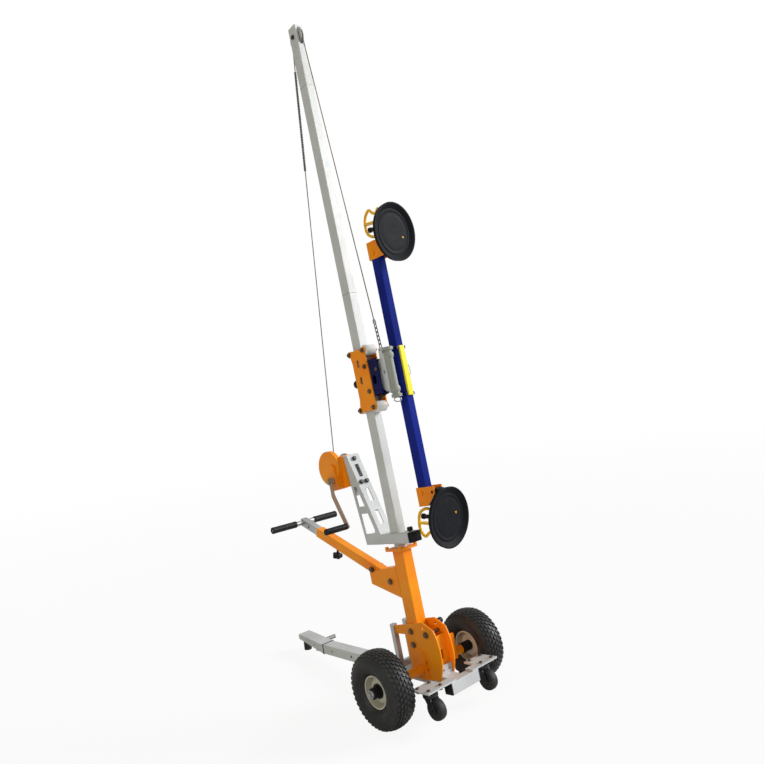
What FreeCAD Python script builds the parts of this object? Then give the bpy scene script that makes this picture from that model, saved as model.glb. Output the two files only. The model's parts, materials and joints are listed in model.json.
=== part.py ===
import FreeCAD, Part
import math
import os

Vector = FreeCAD.Vector

# Glass panel lifter: a two-wheeled stand with a winch-raised suction frame.
# Front (suction faces) is -Y, +Z is up, and the origin lies on the floor below the middle of the axle.
# Every piece is drawn with the mast upright, then the whole machine leans back on its rear foot.

# Turns, and the corner round of slots as a share of their width
full_turn = 360.0
quarter_turn = 90.0
slot_round_share = 0.33

# Clearances shared by the fits, and the overrun of every cut
overrun = 2.0
seat_gap = 0.3
running_gap = 0.05
bolt_gap = 0.2
edge_round = 3.0

# Road wheels
wheel_radius = 140.0
track = 482.0
tyre_width = 100.0
tyre_bulge_radius = 98.0
tyre_shoulder_radius = 129.0
tyre_shoulder_width = 80.0
bead_radius = 58.0
bead_width = 60.0
bead_height = 2.5
rim_lip_height = 1.0
rim_lip_thickness = 3.0
rim_wall = 3.0
rim_dish = 14.0
rim_boss_radius = 38.0
hub_radius = 20.0
hub_inner_reach = 64.0
hub_outer_reach = 46.0
hub_flange_radius = 26.0
hub_flange_thickness = 6.0
axle_radius = 10.0
axle_overhang = 16.0
axle_tube_radius = 17.0
axle_tube_gap = 2.0
lynch_pin_radius = 3.0
lynch_ring_radius = 13.0
lynch_ring_wire = 1.8

# Base side plates and web
plate_thickness = 5.0
plate_rear = 66.0
plate_depth = 180.0
plate_bottom = 100.0
plate_height = 213.0
plate_top_shares = (0.61, 1.0)
plate_corner_shares = (0.9, 0.873)
plate_nose_shares = (1.0, 0.54)
plate_toe_shares = (0.84, 0.0)
lug_reach = 57.0
lug_height = 30.0
lug_low_share = 0.76
plate_slot_length = 30.0
plate_slot_height = 9.0
plate_slot_front_share = 0.45
plate_slot_height_shares = (0.17, 0.29)
doubler_width = 52.0
doubler_height = 112.0
doubler_thickness = 8.0
gusset_reach = 88.0
gusset_thickness = 6.0
gusset_height = 110.0
gusset_tip_share = 0.88
gusset_hole_radius = 5.0
gusset_hole_shares = (0.55, 0.7)
web_front_share = 0.83
plate_hole_shares = (0.61, 0.9)
plate_hole_radius = 6.0
web_thickness = 5.0
web_bottom_share = 0.09
web_top_share = 0.74
web_slot_width = 14.0
web_slot_height = 34.0

# Cross beam with its caster plates
beam_length = 140.0
beam_depth = 40.0
beam_height = 42.0
beam_wall = 3.0
beam_top = 120.0
beam_front = 183.0
caster_plate_thickness = 6.0
caster_plate_length = 92.0
caster_plate_depth = 92.0
caster_plate_outer = 184.0
caster_plate_inset = 2.0
tongue_overlap = 26.0
end_cap_thickness = 4.0

# Casters
caster_head_size = 78.0
caster_head_thickness = 4.0
caster_race_radius = 26.0
caster_race_height = 10.0
kingpin_radius = 6.0
kingpin_length = 11.0
caster_wheel_radius = 38.0
caster_wheel_width = 28.0
caster_trail = 20.0
fork_thickness = 4.0
fork_side_gap = 2.0
fork_crown_radius = 28.0
fork_crown_thickness = 10.0
fork_eye_radius = 14.0
caster_axle_radius = 5.0
caster_clearance = 15.0
caster_tread_round = 8.0
bolt_shank_radius = 4.0
bolt_head_radius = 6.5
bolt_head_height = 5.0
caster_bolt_spacing = 58.0

# Rear leg, its sliding toe and the foot
leg_width = 60.0
leg_height = 41.0
leg_wall = 3.0
leg_slope = 3.5
leg_axle_clearance = 1.6
leg_end = 690.0
leg_hole_radius = 6.0
leg_hole_share = 0.9
leg_side_hole_share = 0.69
tab_front = 90.0
tab_width = 58.0
tab_height = 36.0
tab_thickness = 5.0
tab_hole_radius = 4.0
tab_hole_spacing = 28.0
toe_length = 195.0
toe_rise = 19.0
toe_tip_height = 23.0
toe_tongue_length = 200.0
toe_tongue_lap_share = 0.33
toe_shoulder_gap = 3.0
foot_reach = 872.0
foot_drop = 22.0
foot_radius = 18.0
foot_height = 34.0
pull_bar_radius = 4.0
pull_bar_share = 0.35
pull_bar_reach = 60.0
pull_grip_radius = 9.0
pull_grip_length = 44.0
brace_size = 20.0
brace_top_overhang = 6.0

# Post, its flange and the handle bracket
post_width = 50.0
post_depth = 60.0
post_wall = 4.0
post_centre = 27.0
post_clearance = 3.0
post_top = 585.0
flange_size = 92.0
flange_thickness = 9.0
flange_lug_size = 12.0
flange_lug_height = 8.0
post_bolt_heights = (276.0, 226.0)
post_bolt_radius = 6.0
post_bolt_head_radius = 9.5
post_bolt_head_height = 6.0
post_sleeve_radius = 10.0
cross_pin_front_share = 0.68
cross_pin_height_share = 0.79
cross_pin_radius = 7.0
bracket_plate_thickness = 5.0
bracket_reach = 172.0
bracket_low = 400.0
bracket_high = 521.0
bracket_tip_low = 451.0
bracket_tip_high = 500.0
bracket_cover_reach = 80.0

# Handle arm, sliding tube, grips and clamp knob
arm_size = 40.0
arm_wall = 3.0
arm_slope = 24.0
arm_start_gap = 18.0
arm_start_height = 450.0
arm_length = 548.0
arm_bolt_shares = (0.057, 0.27)
slider_length = 430.0
slider_showing = 132.0
slider_wall = 2.5
slider_hole_radius = 5.0
cross_tube_radius = 11.0
cross_tube_length = 350.0
grip_radius = 15.0
grip_length = 132.0
grip_round = 5.0
knob_share = 0.75
knob_radius = 25.0
knob_height = 20.0
knob_lobes = 6
knob_lobe_share = 0.26
knob_stem_radius = 5.0
knob_stem_length = 15.0

# Swivelling mast foot: spigot, arm and winch bracket
spigot_radius = 25.0
spigot_stub_radius = 19.5
spigot_stub_length = 90.0
spigot_height = 17.0
foot_arm_width = 62.0
foot_arm_height = 40.0
foot_arm_wall = 4.0
foot_arm_rear = 202.0
foot_arm_front = 62.0
arm_cap_thickness = 7.0
arm_cap_plug = 20.0
stub_height = 90.0
upright_thickness = 4.0
upright_height = 376.0
upright_lean = 45.0
upright_tip = 24.0
upright_root_front = 100.0
window_high_shares = (0.42, 0.64)
window_low_shares = (0.12, 0.34)
window_rear_margin = 14.0
window_front_margin = 24.0
slope_plate_thickness = 5.0
slope_slot_width = 20.0
slope_slots_shares = ((0.79, 0.16), (0.48, 0.16), (0.2, 0.17))
slope_hole_share = 0.645
slope_hole_radius = 7.0
slope_hole_spacing = 28.0
rear_plate_share = 0.46
rear_plate_thickness = 5.0

# Mast
mast_width = 40.0
mast_depth = 50.0
mast_wall = 3.0
mast_corner = 3.0
mast_joint_share = 0.58
head_length = 271.0
head_above_pulley = 47.0
joint_plug_length = 60.0
head_cap_thickness = 3.0

# Head pulley and hoist rope
rope_radius = 2.5
pulley_rope_radius = 37.0
pulley_flange_radius = 42.0
pulley_width = 13.0
pulley_height = 2755.0
pulley_pin_radius = 6.0
pulley_pin_head_radius = 9.0
pulley_pin_head_height = 5.0
pulley_slot_gap = 1.5
rope_sleeve_radius = 4.5
rope_sleeve_shares = (0.07, 0.30)

# Winch on the bracket's leaning rear plate, in its own upright frame: out from the plate, and up
winch_mount_share = 0.83
winch_base_width = 80.0
winch_base_height = 132.0
winch_base_thickness = 5.0
winch_side_thickness = 4.0
drum_out = 82.0
drum_up = 33.0
pinion_out = 55.0
pinion_up = -23.0
drum_core_radius = 33.5
drum_flange_radius = 52.0
drum_flange_thickness = 4.0
drum_shaft_radius = 10.0
drum_side_gap = 3.0
gear_radius = 48.0
gear_width = 8.0
cover_radius = 73.0
cover_depth = 20.0
cover_wall = 3.0
pinion_cover_width = 46.0
pinion_cover_height = 108.0
pinion_cover_depth = 12.0
pinion_radius = 12.0
pinion_width = 8.0
crank_shaft_radius = 8.0
crank_length = 205.0
crank_swing = 24.0
crank_bar_width = 20.0
crank_bar_thickness = 6.0
crank_offset = 14.0
crank_bend_shares = (0.08, 0.32)
crank_hub_radius = 14.0
crank_hub_length = 16.0
crank_grip_radius = 12.5
crank_grip_length = 108.0
crank_grip_bore = 5.0

# Carriage on the mast
carriage_height = 1265.0
roller_spacing = 230.0
carriage_waist_share = 0.25
carriage_nose_share = 0.125
front_roller_radius = 21.5
rear_roller_radius = 15.0
roller_gap = 0.4
roller_length = 50.0
roller_bore = 6.0
roller_round = 3.0
carriage_plate_thickness = 5.0
carriage_plate_gap = 1.5
carriage_boss_radius = 13.0
carriage_waist_share = 0.33
carriage_belly_share = 0.32
carriage_head_radius = 8.5
carriage_head_height = 5.0
carriage_window_width = 16.0
carriage_window_height = 30.0
carriage_window_share = 0.3
carriage_pin_radius = 5.0
tilt_bracket_height = 142.0
tilt_bracket_front = 86.0
tilt_bracket_rear = 5.0
tilt_bracket_thickness = 5.0
tilt_bracket_window_width = 22.0
tilt_bracket_window_height = 36.0
tilt_bracket_window_front = 52.0
tilt_bracket_window_drop = 12.0
tilt_bolt_rise = 50.0
tilt_bolt_back = 12.0
tilt_bolt_radius = 5.0
tilt_bolt_head_radius = 7.5
tilt_bolt_head_height = 5.0
rear_knob_size = 30.0
rear_knob_depth = 28.0
rear_knob_drop = 4.0
rear_strap_thickness = 5.0
rear_strap_height = 46.0

# Tilting head behind the lifting bar
tilt_pivot_front = 70.0
tilt_pivot_rise = 27.0
tilt_pin_radius = 8.0
quadrant_thickness = 14.0
quadrant_crest = 52.0
quadrant_chord = 118.0
quadrant_half_height = 80.0
quadrant_hole_radius = 6.0
quadrant_hole_length = 16.0
quadrant_hole_front = 96.0
head_post_front = 132.0
head_post_radius = 15.0
head_boss_radius = 20.0
head_post_half_height = 86.0
hinge_pin_radius = 8.0
hook_eye_radius = 10.0
hook_eye_bore = 5.0
hook_front = 95.0
hook_rise = 96.0
hook_neck_share = 0.5

# Suction frame: lifting bar, clamp and cups
frame_lean = 0.5
frame_pan = 6.0
bar_size = 40.0
bar_wall = 3.0
bar_corner = 4.0
bar_gap_to_post = 18.0
bar_setback = 4.0
bar_top_rise = 529.0
bar_bottom_drop = 528.0
clamp_plate_width = 28.0
clamp_plate_thickness = 9.0
clamp_collar_wall = 4.0
hinge_ear_length = 12.0
hinge_ear_width = 20.0
cup_bracket_wall = 5.0
cup_bracket_lap = 72.0
cup_bracket_nose = 24.0
cup_bracket_shoulder_share = 0.62
cup_bracket_bolt_share = 0.7
cup_pin_radius = 6.0
cup_ear_radius = 13.0
cup_ear_width = 34.0
cup_pivot_inset = 50.0
cup_pivot_reach = 32.0
cup_nod = 8.0
upper_axis_reach = 9.0
lower_axis_reach = 47.0
upper_handle_gap = 8.0
lower_handle_gap = 16.0
upper_handle_reach = 108.0
lower_handle_reach = 106.0
pad_radius = 115.0
pad_lip_thickness = 5.0
pad_dish_depth = 9.0
pad_body_depth = 24.0
pad_body_radius = 62.0
pad_step_share = 0.8
pad_front = 48.0
spine_depth = 22.0
pump_block_depth = 40.0
pump_block_width = 26.0
plunger_radius = 8.0
plunger_bore_depth = 30.0
plunger_travel = 12.0
plunger_cap_radius = 11.0
plunger_cap_length = 10.0
plunger_place_share = 0.3
plunger_handle_gap = 14.0
pump_handle_length = 120.0
pump_rod_radius = 6.0
pump_web_thickness = 8.0
pump_web_width = 20.0
pump_web_share = 0.55
pump_path_shares = ((0.0, 0.07), (0.55, 0.05), (0.9, 0.2), (1.0, 0.5), (0.93, 0.8),
                    (0.68, 0.95), (0.44, 0.82), (0.27, 0.8), (0.12, 0.92))


def box(x_low, x_high, y_low, y_high, z_low, z_high):
    corner = Vector(x_low, y_low, z_low)
    return Part.makeBox(x_high - x_low, y_high - y_low, z_high - z_low, corner)


def rod(start, end, radius):
    along = end - start
    return Part.makeCylinder(radius, along.Length, start, along)


def cross_rod(x_low, x_high, y, z, radius):
    return rod(Vector(x_low, y, z), Vector(x_high, y, z), radius)


def side_profile(points, x_low, x_high):
    corners = [Vector(x_low, y, z) for y, z in points]
    face = Part.Face(Part.makePolygon(corners + corners[:1]))
    return face.extrude(Vector(x_high - x_low, 0, 0))


def front_profile(points, y_low, y_high):
    corners = [Vector(x, y_low, z) for x, z in points]
    face = Part.Face(Part.makePolygon(corners + corners[:1]))
    return face.extrude(Vector(0, y_high - y_low, 0))


def turned(profile):
    corners = [Vector(x, 0, radius) for x, radius in profile]
    face = Part.Face(Part.makePolygon(corners + corners[:1]))
    return face.revolve(Vector(0, 0, 0), Vector(1, 0, 0), full_turn)


def rounded(shape, direction, radius):
    edges = []
    for edge in shape.Edges:
        along = edge.tangentAt(edge.FirstParameter)
        if len(edge.Vertexes) == 2 and abs(abs(along.dot(direction)) - 1) < 1e-6:
            edges.append(edge)
    return shape.makeFillet(radius, edges)


def box_tube(width, depth, wall, corner, low, high):
    outer = rounded(box(-width / 2, width / 2, -depth / 2, depth / 2, low, high), Vector(0, 0, 1), corner)
    half_width = width / 2 - wall
    half_depth = depth / 2 - wall
    inner = box(-half_width, half_width, -half_depth, half_depth, low - overrun, high + overrun)
    return outer.cut(inner)


def moved(shape, x, y, z):
    copy = shape.copy()
    copy.translate(Vector(x, y, z))
    return copy


def turned_about_x(shape, y, z, degrees):
    copy = shape.copy()
    copy.rotate(Vector(0, y, z), Vector(1, 0, 0), degrees)
    return copy


def mirrored(shape):
    return shape.mirror(Vector(0, 0, 0), Vector(1, 0, 0))


def group(solids):
    return Part.makeCompound(solids)


# The lean that sets the wheels and the rear foot on one floor
foot_distance = math.hypot(foot_reach, foot_drop)
lean = math.degrees(math.asin(wheel_radius / foot_distance) - math.atan2(foot_drop, foot_reach))


def leaned(shape):
    return turned_about_x(shape, 0, wheel_radius, -lean)


# Places that several pieces share
post_bottom = wheel_radius + axle_tube_radius + post_clearance
plate_inner = leg_width / 2 + seat_gap
plate_outer = plate_inner + plate_thickness
hub_inner_end = track / 2 - hub_inner_reach
axle_tube_end = hub_inner_end - axle_tube_gap
axle_end = track / 2 + hub_outer_reach + axle_overhang
mast_front = post_centre - mast_depth / 2
mast_rear = post_centre + mast_depth / 2
mast_top = pulley_height + head_above_pulley
mast_joints = (mast_top * mast_joint_share, mast_top - head_length)


def plate_point(shares):
    return plate_rear - shares[0] * plate_depth, plate_bottom + shares[1] * plate_height


cross_pin_y, cross_pin_z = plate_point((cross_pin_front_share, cross_pin_height_share))
web_front = plate_point((web_front_share, 0))[0]


# Wheels
def tyre():
    half = bead_width / 2
    shoulder = tyre_shoulder_width / 2
    bulge = tyre_width / 2
    right_bead = Vector(half, 0, bead_radius + bead_height)
    right_shoulder = Vector(shoulder, 0, tyre_shoulder_radius)
    left_shoulder = Vector(-shoulder, 0, tyre_shoulder_radius)
    left_bead = Vector(-half, 0, bead_radius + bead_height)
    right_seat = Vector(half, 0, bead_radius)
    left_seat = Vector(-half, 0, bead_radius)
    edges = [
        Part.makeLine(left_bead, left_seat),
        Part.makeLine(left_seat, right_seat),
        Part.makeLine(right_seat, right_bead),
        Part.Arc(right_bead, Vector(bulge, 0, tyre_bulge_radius), right_shoulder).toShape(),
        Part.Arc(right_shoulder, Vector(0, 0, wheel_radius), left_shoulder).toShape(),
        Part.Arc(left_shoulder, Vector(-bulge, 0, tyre_bulge_radius), left_bead).toShape(),
    ]
    return Part.Face(Part.Wire(edges)).revolve(Vector(0, 0, 0), Vector(1, 0, 0), full_turn)


def rim():
    seat = bead_radius - seat_gap
    lip = bead_radius + rim_lip_height
    half = bead_width / 2 + seat_gap
    edge = half + rim_lip_thickness
    inside = seat - rim_wall
    bore = hub_radius + running_gap
    dish = rim_dish + rim_wall
    return turned([
        (-edge, lip), (-half, lip), (-half, seat), (half, seat), (half, lip), (edge, lip),
        (edge, inside), (rim_wall, inside), (dish, rim_boss_radius), (dish, bore),
        (-dish, bore), (-dish, rim_boss_radius), (-rim_wall, inside), (-edge, inside),
    ])


def hub():
    bore = axle_radius + running_gap
    flange_start = rim_dish + rim_wall
    return turned([
        (-hub_inner_reach, bore), (-hub_inner_reach, hub_radius), (flange_start, hub_radius),
        (flange_start, hub_flange_radius), (flange_start + hub_flange_thickness, hub_flange_radius),
        (flange_start + hub_flange_thickness, hub_radius), (hub_outer_reach, hub_radius),
        (hub_outer_reach, bore),
    ])


def on_right_wheel(shape):
    return moved(shape, track / 2, 0, wheel_radius)


# Axle and base
def axle_shaft():
    shaft = cross_rod(-axle_end, axle_end, 0, wheel_radius, axle_radius)
    for side in (-1, 1):
        hole = rod(Vector(side * lynch_pin_place(), -axle_radius - overrun, wheel_radius),
                   Vector(side * lynch_pin_place(), axle_radius + overrun, wheel_radius),
                   lynch_pin_radius + running_gap)
        shaft = shaft.cut(hole)
    return shaft


def lynch_pin_place():
    return axle_end - axle_overhang / 2


def lynch_pin(side):
    x = side * lynch_pin_place()
    pin = rod(Vector(x, -lynch_ring_radius, wheel_radius), Vector(x, lynch_ring_radius, wheel_radius),
              lynch_pin_radius)
    ring = Part.makeTorus(lynch_ring_radius, lynch_ring_wire, Vector(x, 0, wheel_radius), Vector(1, 0, 0))
    return pin.fuse(ring)


def axle_tube():
    tube = cross_rod(-axle_tube_end, axle_tube_end, 0, wheel_radius, axle_tube_radius)
    bore = cross_rod(-axle_tube_end - overrun, axle_tube_end + overrun, 0, wheel_radius,
                     axle_radius + running_gap)
    return tube.cut(bore)


def plate_outline():
    rear_low = plate_point((0, 0))
    lug_low = plate_point((0, lug_low_share))[1]
    lug_end = plate_rear + lug_reach
    corners = [rear_low, (plate_rear, lug_low), (lug_end, lug_low), (lug_end, lug_low + lug_height),
               plate_point(plate_top_shares), plate_point(plate_corner_shares)]
    places = [Vector(0, y, z) for y, z in corners]
    nose = Vector(0, *plate_point(plate_nose_shares))
    toe = Vector(0, *plate_point(plate_toe_shares))
    edges = [Part.makeLine(a, b) for a, b in zip(places, places[1:])]
    edges.append(Part.Arc(places[-1], nose, toe).toShape())
    edges.append(Part.makeLine(toe, places[0]))
    return Part.Face(Part.Wire(edges))


def axle_doubler():
    radius = doubler_width / 2
    top = plate_bottom + doubler_height - radius
    body = box(plate_outer, plate_outer + doubler_thickness, -radius, radius, plate_bottom, top)
    return body.fuse(cross_rod(plate_outer, plate_outer + doubler_thickness, 0, top, radius))


def axle_gusset():
    start = plate_outer + doubler_thickness
    low = wheel_radius - axle_tube_radius
    tip = low + gusset_tip_share * gusset_height
    outline = [(start, low), (start, low + gusset_height), (start + gusset_reach, tip),
               (start + gusset_reach, low)]
    plate = front_profile(outline, -axle_tube_radius - gusset_thickness, -axle_tube_radius)
    hole_x = start + gusset_reach * gusset_hole_shares[0]
    hole_z = low + gusset_height * gusset_hole_shares[1]
    hole = rod(Vector(hole_x, -axle_tube_radius - gusset_thickness - overrun, hole_z),
               Vector(hole_x, -axle_tube_radius + overrun, hole_z), gusset_hole_radius)
    return plate.cut(hole)


# Only the right plate carries the gusset over the axle tube
def side_plate(extras):
    plate = moved(plate_outline().extrude(Vector(plate_thickness, 0, 0)), plate_inner, 0, 0)
    plate = plate.fuse([axle_doubler()] + extras).removeSplitter()
    low_x = plate_inner - overrun
    high_x = plate_outer + doubler_thickness + overrun
    cuts = [cross_rod(plate_inner - overrun, high_x, 0, wheel_radius, axle_tube_radius + running_gap)]
    for height in post_bolt_heights:
        cuts.append(cross_rod(low_x, high_x, post_centre, height, post_bolt_radius + bolt_gap))
    cuts.append(cross_rod(low_x, high_x, cross_pin_y, cross_pin_z, cross_pin_radius + bolt_gap))
    hole_y, hole_z = plate_point(plate_hole_shares)
    cuts.append(cross_rod(low_x, high_x, hole_y, hole_z, plate_hole_radius))
    for share in plate_slot_height_shares:
        y, z = plate_point((plate_slot_front_share, share))
        slot = box(low_x, plate_outer + overrun, y - plate_slot_length / 2, y + plate_slot_length / 2,
                   z - plate_slot_height / 2, z + plate_slot_height / 2)
        cuts.append(rounded(slot, Vector(1, 0, 0), plate_slot_height * slot_round_share))
    return plate.cut(cuts)


def front_web():
    low = plate_bottom + web_bottom_share * plate_height
    high = plate_bottom + web_top_share * plate_height
    web = box(-plate_inner, plate_inner, web_front, web_front + web_thickness, low, high)
    middle = (low + high) / 2
    slot = box(-web_slot_width / 2, web_slot_width / 2, web_front - overrun,
               web_front + web_thickness + overrun,
               middle - web_slot_height / 2, middle + web_slot_height / 2)
    return web.cut(rounded(slot, Vector(0, 1, 0), web_slot_width * slot_round_share))


caster_x = caster_plate_outer - caster_plate_length / 2
caster_y = caster_plate_inset - beam_front + caster_plate_depth / 2


def caster_bolt_places(side):
    half = caster_bolt_spacing / 2
    return [(side * caster_x + dx, caster_y + dy) for dx in (-half, half) for dy in (-half, half)]


def cross_beam():
    half = beam_length / 2
    rear = beam_depth - beam_front
    beam = box(-half, half, -beam_front, rear, beam_top - beam_height, beam_top)
    beam = rounded(beam, Vector(1, 0, 0), edge_round)
    hollow = box(-half - overrun, half + overrun, -beam_front + beam_wall, rear - beam_wall,
                 beam_top - beam_height + beam_wall, beam_top - beam_wall)
    pieces = []
    high = beam_top + caster_plate_thickness
    inner = caster_plate_outer - caster_plate_length
    front = caster_plate_inset - beam_front
    for side in (-1, 1):
        near, far = sorted((side * inner, side * caster_plate_outer))
        plate = box(near, far, front, front + caster_plate_depth, beam_top, high)
        plate = rounded(plate, Vector(0, 0, 1), edge_round)
        for x, y in caster_bolt_places(side):
            hole = rod(Vector(x, y, beam_top - overrun), Vector(x, y, high + overrun),
                       bolt_shank_radius + bolt_gap)
            plate = plate.cut(hole)
        tongue_near, tongue_far = sorted((side * (half - tongue_overlap), side * (inner + edge_round)))
        pieces += [plate, box(tongue_near, tongue_far, front, rear, beam_top, high)]
    return beam.cut(hollow).fuse(pieces).removeSplitter()


def beam_cap(side):
    start = beam_length / 2
    near, far = sorted((side * start, side * (start + end_cap_thickness)))
    cap = box(near, far, -beam_front, beam_depth - beam_front, beam_top - beam_height, beam_top)
    return rounded(cap, Vector(1, 0, 0), edge_round)


# Casters, built on the swivel axis at x = 0 and set under their plates
head_low = beam_top - caster_head_thickness
race_low = head_low - caster_race_height
caster_axle_height = caster_clearance + caster_wheel_radius
caster_axle_y = caster_y - caster_trail


def caster_head():
    half = caster_head_size / 2
    plate = box(-half, half, caster_y - half, caster_y + half, head_low, beam_top)
    plate = rounded(plate, Vector(0, 0, 1), edge_round)
    race = rod(Vector(0, caster_y, race_low), Vector(0, caster_y, head_low), caster_race_radius)
    pin = rod(Vector(0, caster_y, race_low - kingpin_length), Vector(0, caster_y, race_low), kingpin_radius)
    head = plate.fuse([race, pin]).removeSplitter()
    for x, y in caster_bolt_places(1):
        place = x - caster_x
        head = head.cut(rod(Vector(place, y, head_low - overrun), Vector(place, y, beam_top + overrun),
                            bolt_shank_radius + bolt_gap))
    return head


def caster_fork():
    crown_high = race_low - seat_gap
    crown_low = crown_high - fork_crown_thickness
    crown = rod(Vector(0, caster_y, crown_low), Vector(0, caster_y, crown_high), fork_crown_radius)
    inside = caster_wheel_width / 2 + fork_side_gap
    legs = []
    for side in (-1, 1):
        near, far = sorted((side * inside, side * (inside + fork_thickness)))
        eye = cross_rod(near, far, caster_axle_y, caster_axle_height, fork_eye_radius)
        outline = [(caster_y - inside, crown_low), (caster_y + inside, crown_low),
                   (caster_axle_y + fork_eye_radius, caster_axle_height),
                   (caster_axle_y - fork_eye_radius, caster_axle_height)]
        legs += [eye, side_profile(outline, near, far)]
    reach = inside + fork_thickness + fork_side_gap
    bolt = cross_rod(-reach, reach, caster_axle_y, caster_axle_height, caster_axle_radius)
    fork = crown.fuse(legs + [bolt]).removeSplitter()
    bore = rod(Vector(0, caster_y, crown_low - overrun), Vector(0, caster_y, crown_high + overrun),
               kingpin_radius + running_gap)
    return fork.cut(bore)


def caster_wheel():
    half = caster_wheel_width / 2
    tread = caster_wheel_radius - caster_tread_round * slot_round_share
    bore = caster_axle_radius + running_gap
    wheel = turned([(-half, bore), (-half, tread), (-half + caster_tread_round, caster_wheel_radius),
                    (half - caster_tread_round, caster_wheel_radius), (half, tread), (half, bore)])
    return moved(wheel, 0, caster_axle_y, caster_axle_height)


# Rear leg: drawn level along Y with its top middle on the line below the axle, then sloped
leg_top = wheel_radius - axle_tube_radius - leg_axle_clearance


def sloped(shape):
    return turned_about_x(shape, 0, leg_top, leg_slope)


def rear_leg():
    half = leg_width / 2
    low = leg_top - leg_height
    start = beam_depth - beam_front
    leg = rounded(box(-half, half, start - leg_height, leg_end, low, leg_top), Vector(0, 1, 0), edge_round)
    hollow = box(leg_wall - half, half - leg_wall, start - leg_height - overrun, leg_end + overrun,
                 low + leg_wall, leg_top - leg_wall)
    cuts = [hollow]
    for share in (leg_hole_share, leg_side_hole_share):
        cuts.append(cross_rod(-half - overrun, half + overrun, leg_end * share, leg_top - leg_height / 2,
                              leg_hole_radius))
    leg = sloped(leg.cut(cuts).fuse(leg_tab()).removeSplitter())
    margin = leg_width + overrun
    ahead = box(-margin, margin, start - margin, start, low - margin, leg_top + margin)
    return leg.cut(ahead)


# The upright tab on the leg in front of the web
def leg_tab():
    tab = box(-tab_width / 2, tab_width / 2, -tab_front, tab_thickness - tab_front, leg_top,
              leg_top + tab_height)
    holes = []
    for x in (-tab_hole_spacing / 2, tab_hole_spacing / 2):
        z = leg_top + tab_height / 2
        holes.append(rod(Vector(x, -tab_front - overrun, z),
                         Vector(x, tab_thickness - tab_front + overrun, z), tab_hole_radius))
    return tab.cut(holes)


def leg_toe():
    half = leg_width / 2
    start = leg_end + toe_shoulder_gap
    end = start + toe_length
    middle = leg_top - leg_height / 2
    tip_low = middle + toe_rise
    outline = [(start, middle - leg_height / 2), (start, leg_top), (end, tip_low + toe_tip_height),
               (end, tip_low)]
    wedge = rounded(side_profile(outline, -half, half), Vector(1, 0, 0), edge_round)
    inside = half - leg_wall - seat_gap
    low = middle - leg_height / 2 + leg_wall + seat_gap
    tongue = box(-inside, inside, leg_end - toe_tongue_length, start + toe_length * toe_tongue_lap_share, low,
                 leg_top - leg_wall - seat_gap)
    toe = wedge.fuse(tongue).removeSplitter()
    y, z = pull_bar_place()
    cuts = [cross_rod(-half - overrun, half + overrun, y, z, pull_bar_radius + running_gap),
            cross_rod(-half - overrun, half + overrun, leg_end * leg_hole_share, middle, leg_hole_radius)]
    return sloped(toe.cut(cuts))


def pull_bar_place():
    y = leg_end + toe_shoulder_gap + toe_length * pull_bar_share
    return y, leg_top - leg_height / 2 + toe_rise * pull_bar_share + pull_bar_radius


def leg_pull_bar():
    y, z = pull_bar_place()
    half = leg_width / 2
    bar = cross_rod(-half, half + pull_bar_reach, y, z, pull_bar_radius)
    grip_end = half + pull_bar_reach
    grip = cross_rod(grip_end - pull_grip_length, grip_end, y, z, pull_grip_radius)
    return sloped(bar.fuse(grip).removeSplitter())


# The rubber foot stands square on the floor, so it is drawn in the leaned position
def rear_foot():
    y = math.sqrt(foot_distance ** 2 - wheel_radius ** 2)
    foot = rod(Vector(0, y, 0), Vector(0, y, foot_height + foot_radius), foot_radius)
    return foot.cut(leaned(leg_toe()))


def leg_brace():
    half = brace_size / 2
    x = (plate_inner + plate_outer) / 2
    front = plate_rear + lug_reach
    lug_top = plate_point((0, lug_low_share))[1] + lug_height
    rise = (front + brace_size) * math.tan(math.radians(leg_slope))
    low = leg_top + rise + seat_gap
    bars = [box(x - half, x + half, front, front + brace_size, low, lug_top + brace_top_overhang),
            box(-x - half, half - x, front, front + brace_size, low, lug_top + brace_top_overhang)]
    sill = box(-x, x, front, front + brace_size, low, low + brace_size)
    return sill.fuse(bars).removeSplitter()


# Post with its flange and the handle bracket
def post():
    tube = moved(box_tube(post_width, post_depth, post_wall, edge_round, post_bottom, post_top), 0,
                 post_centre, 0)
    half = flange_size / 2
    high = post_top + flange_thickness
    flange = rounded(box(-half, half, post_centre - half, post_centre + half, post_top, high),
                     Vector(0, 0, 1), edge_round)
    lugs = []
    for x in (-half, half - flange_lug_size):
        for y in (post_centre - half, post_centre + half - flange_lug_size):
            lug = box(x, x + flange_lug_size, y, y + flange_lug_size, high, high + flange_lug_height)
            lugs.append(rounded(lug, Vector(0, 0, 1), edge_round))
    body = tube.fuse([flange] + lugs + handle_bracket()).removeSplitter()
    cuts = [rod(Vector(0, post_centre, post_top - overrun), Vector(0, post_centre, high + overrun),
                spigot_stub_radius + running_gap)]
    for height in post_bolt_heights:
        cuts.append(cross_rod(-post_width, post_width, post_centre, height, post_bolt_radius + bolt_gap))
    for y, z in arm_bolt_places():
        cuts.append(cross_rod(-post_width, post_width, y, z, post_bolt_radius + bolt_gap))
    return body.cut(cuts)


bracket_root = post_centre + post_depth / 2
bracket_inner = arm_size / 2 + seat_gap


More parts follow.
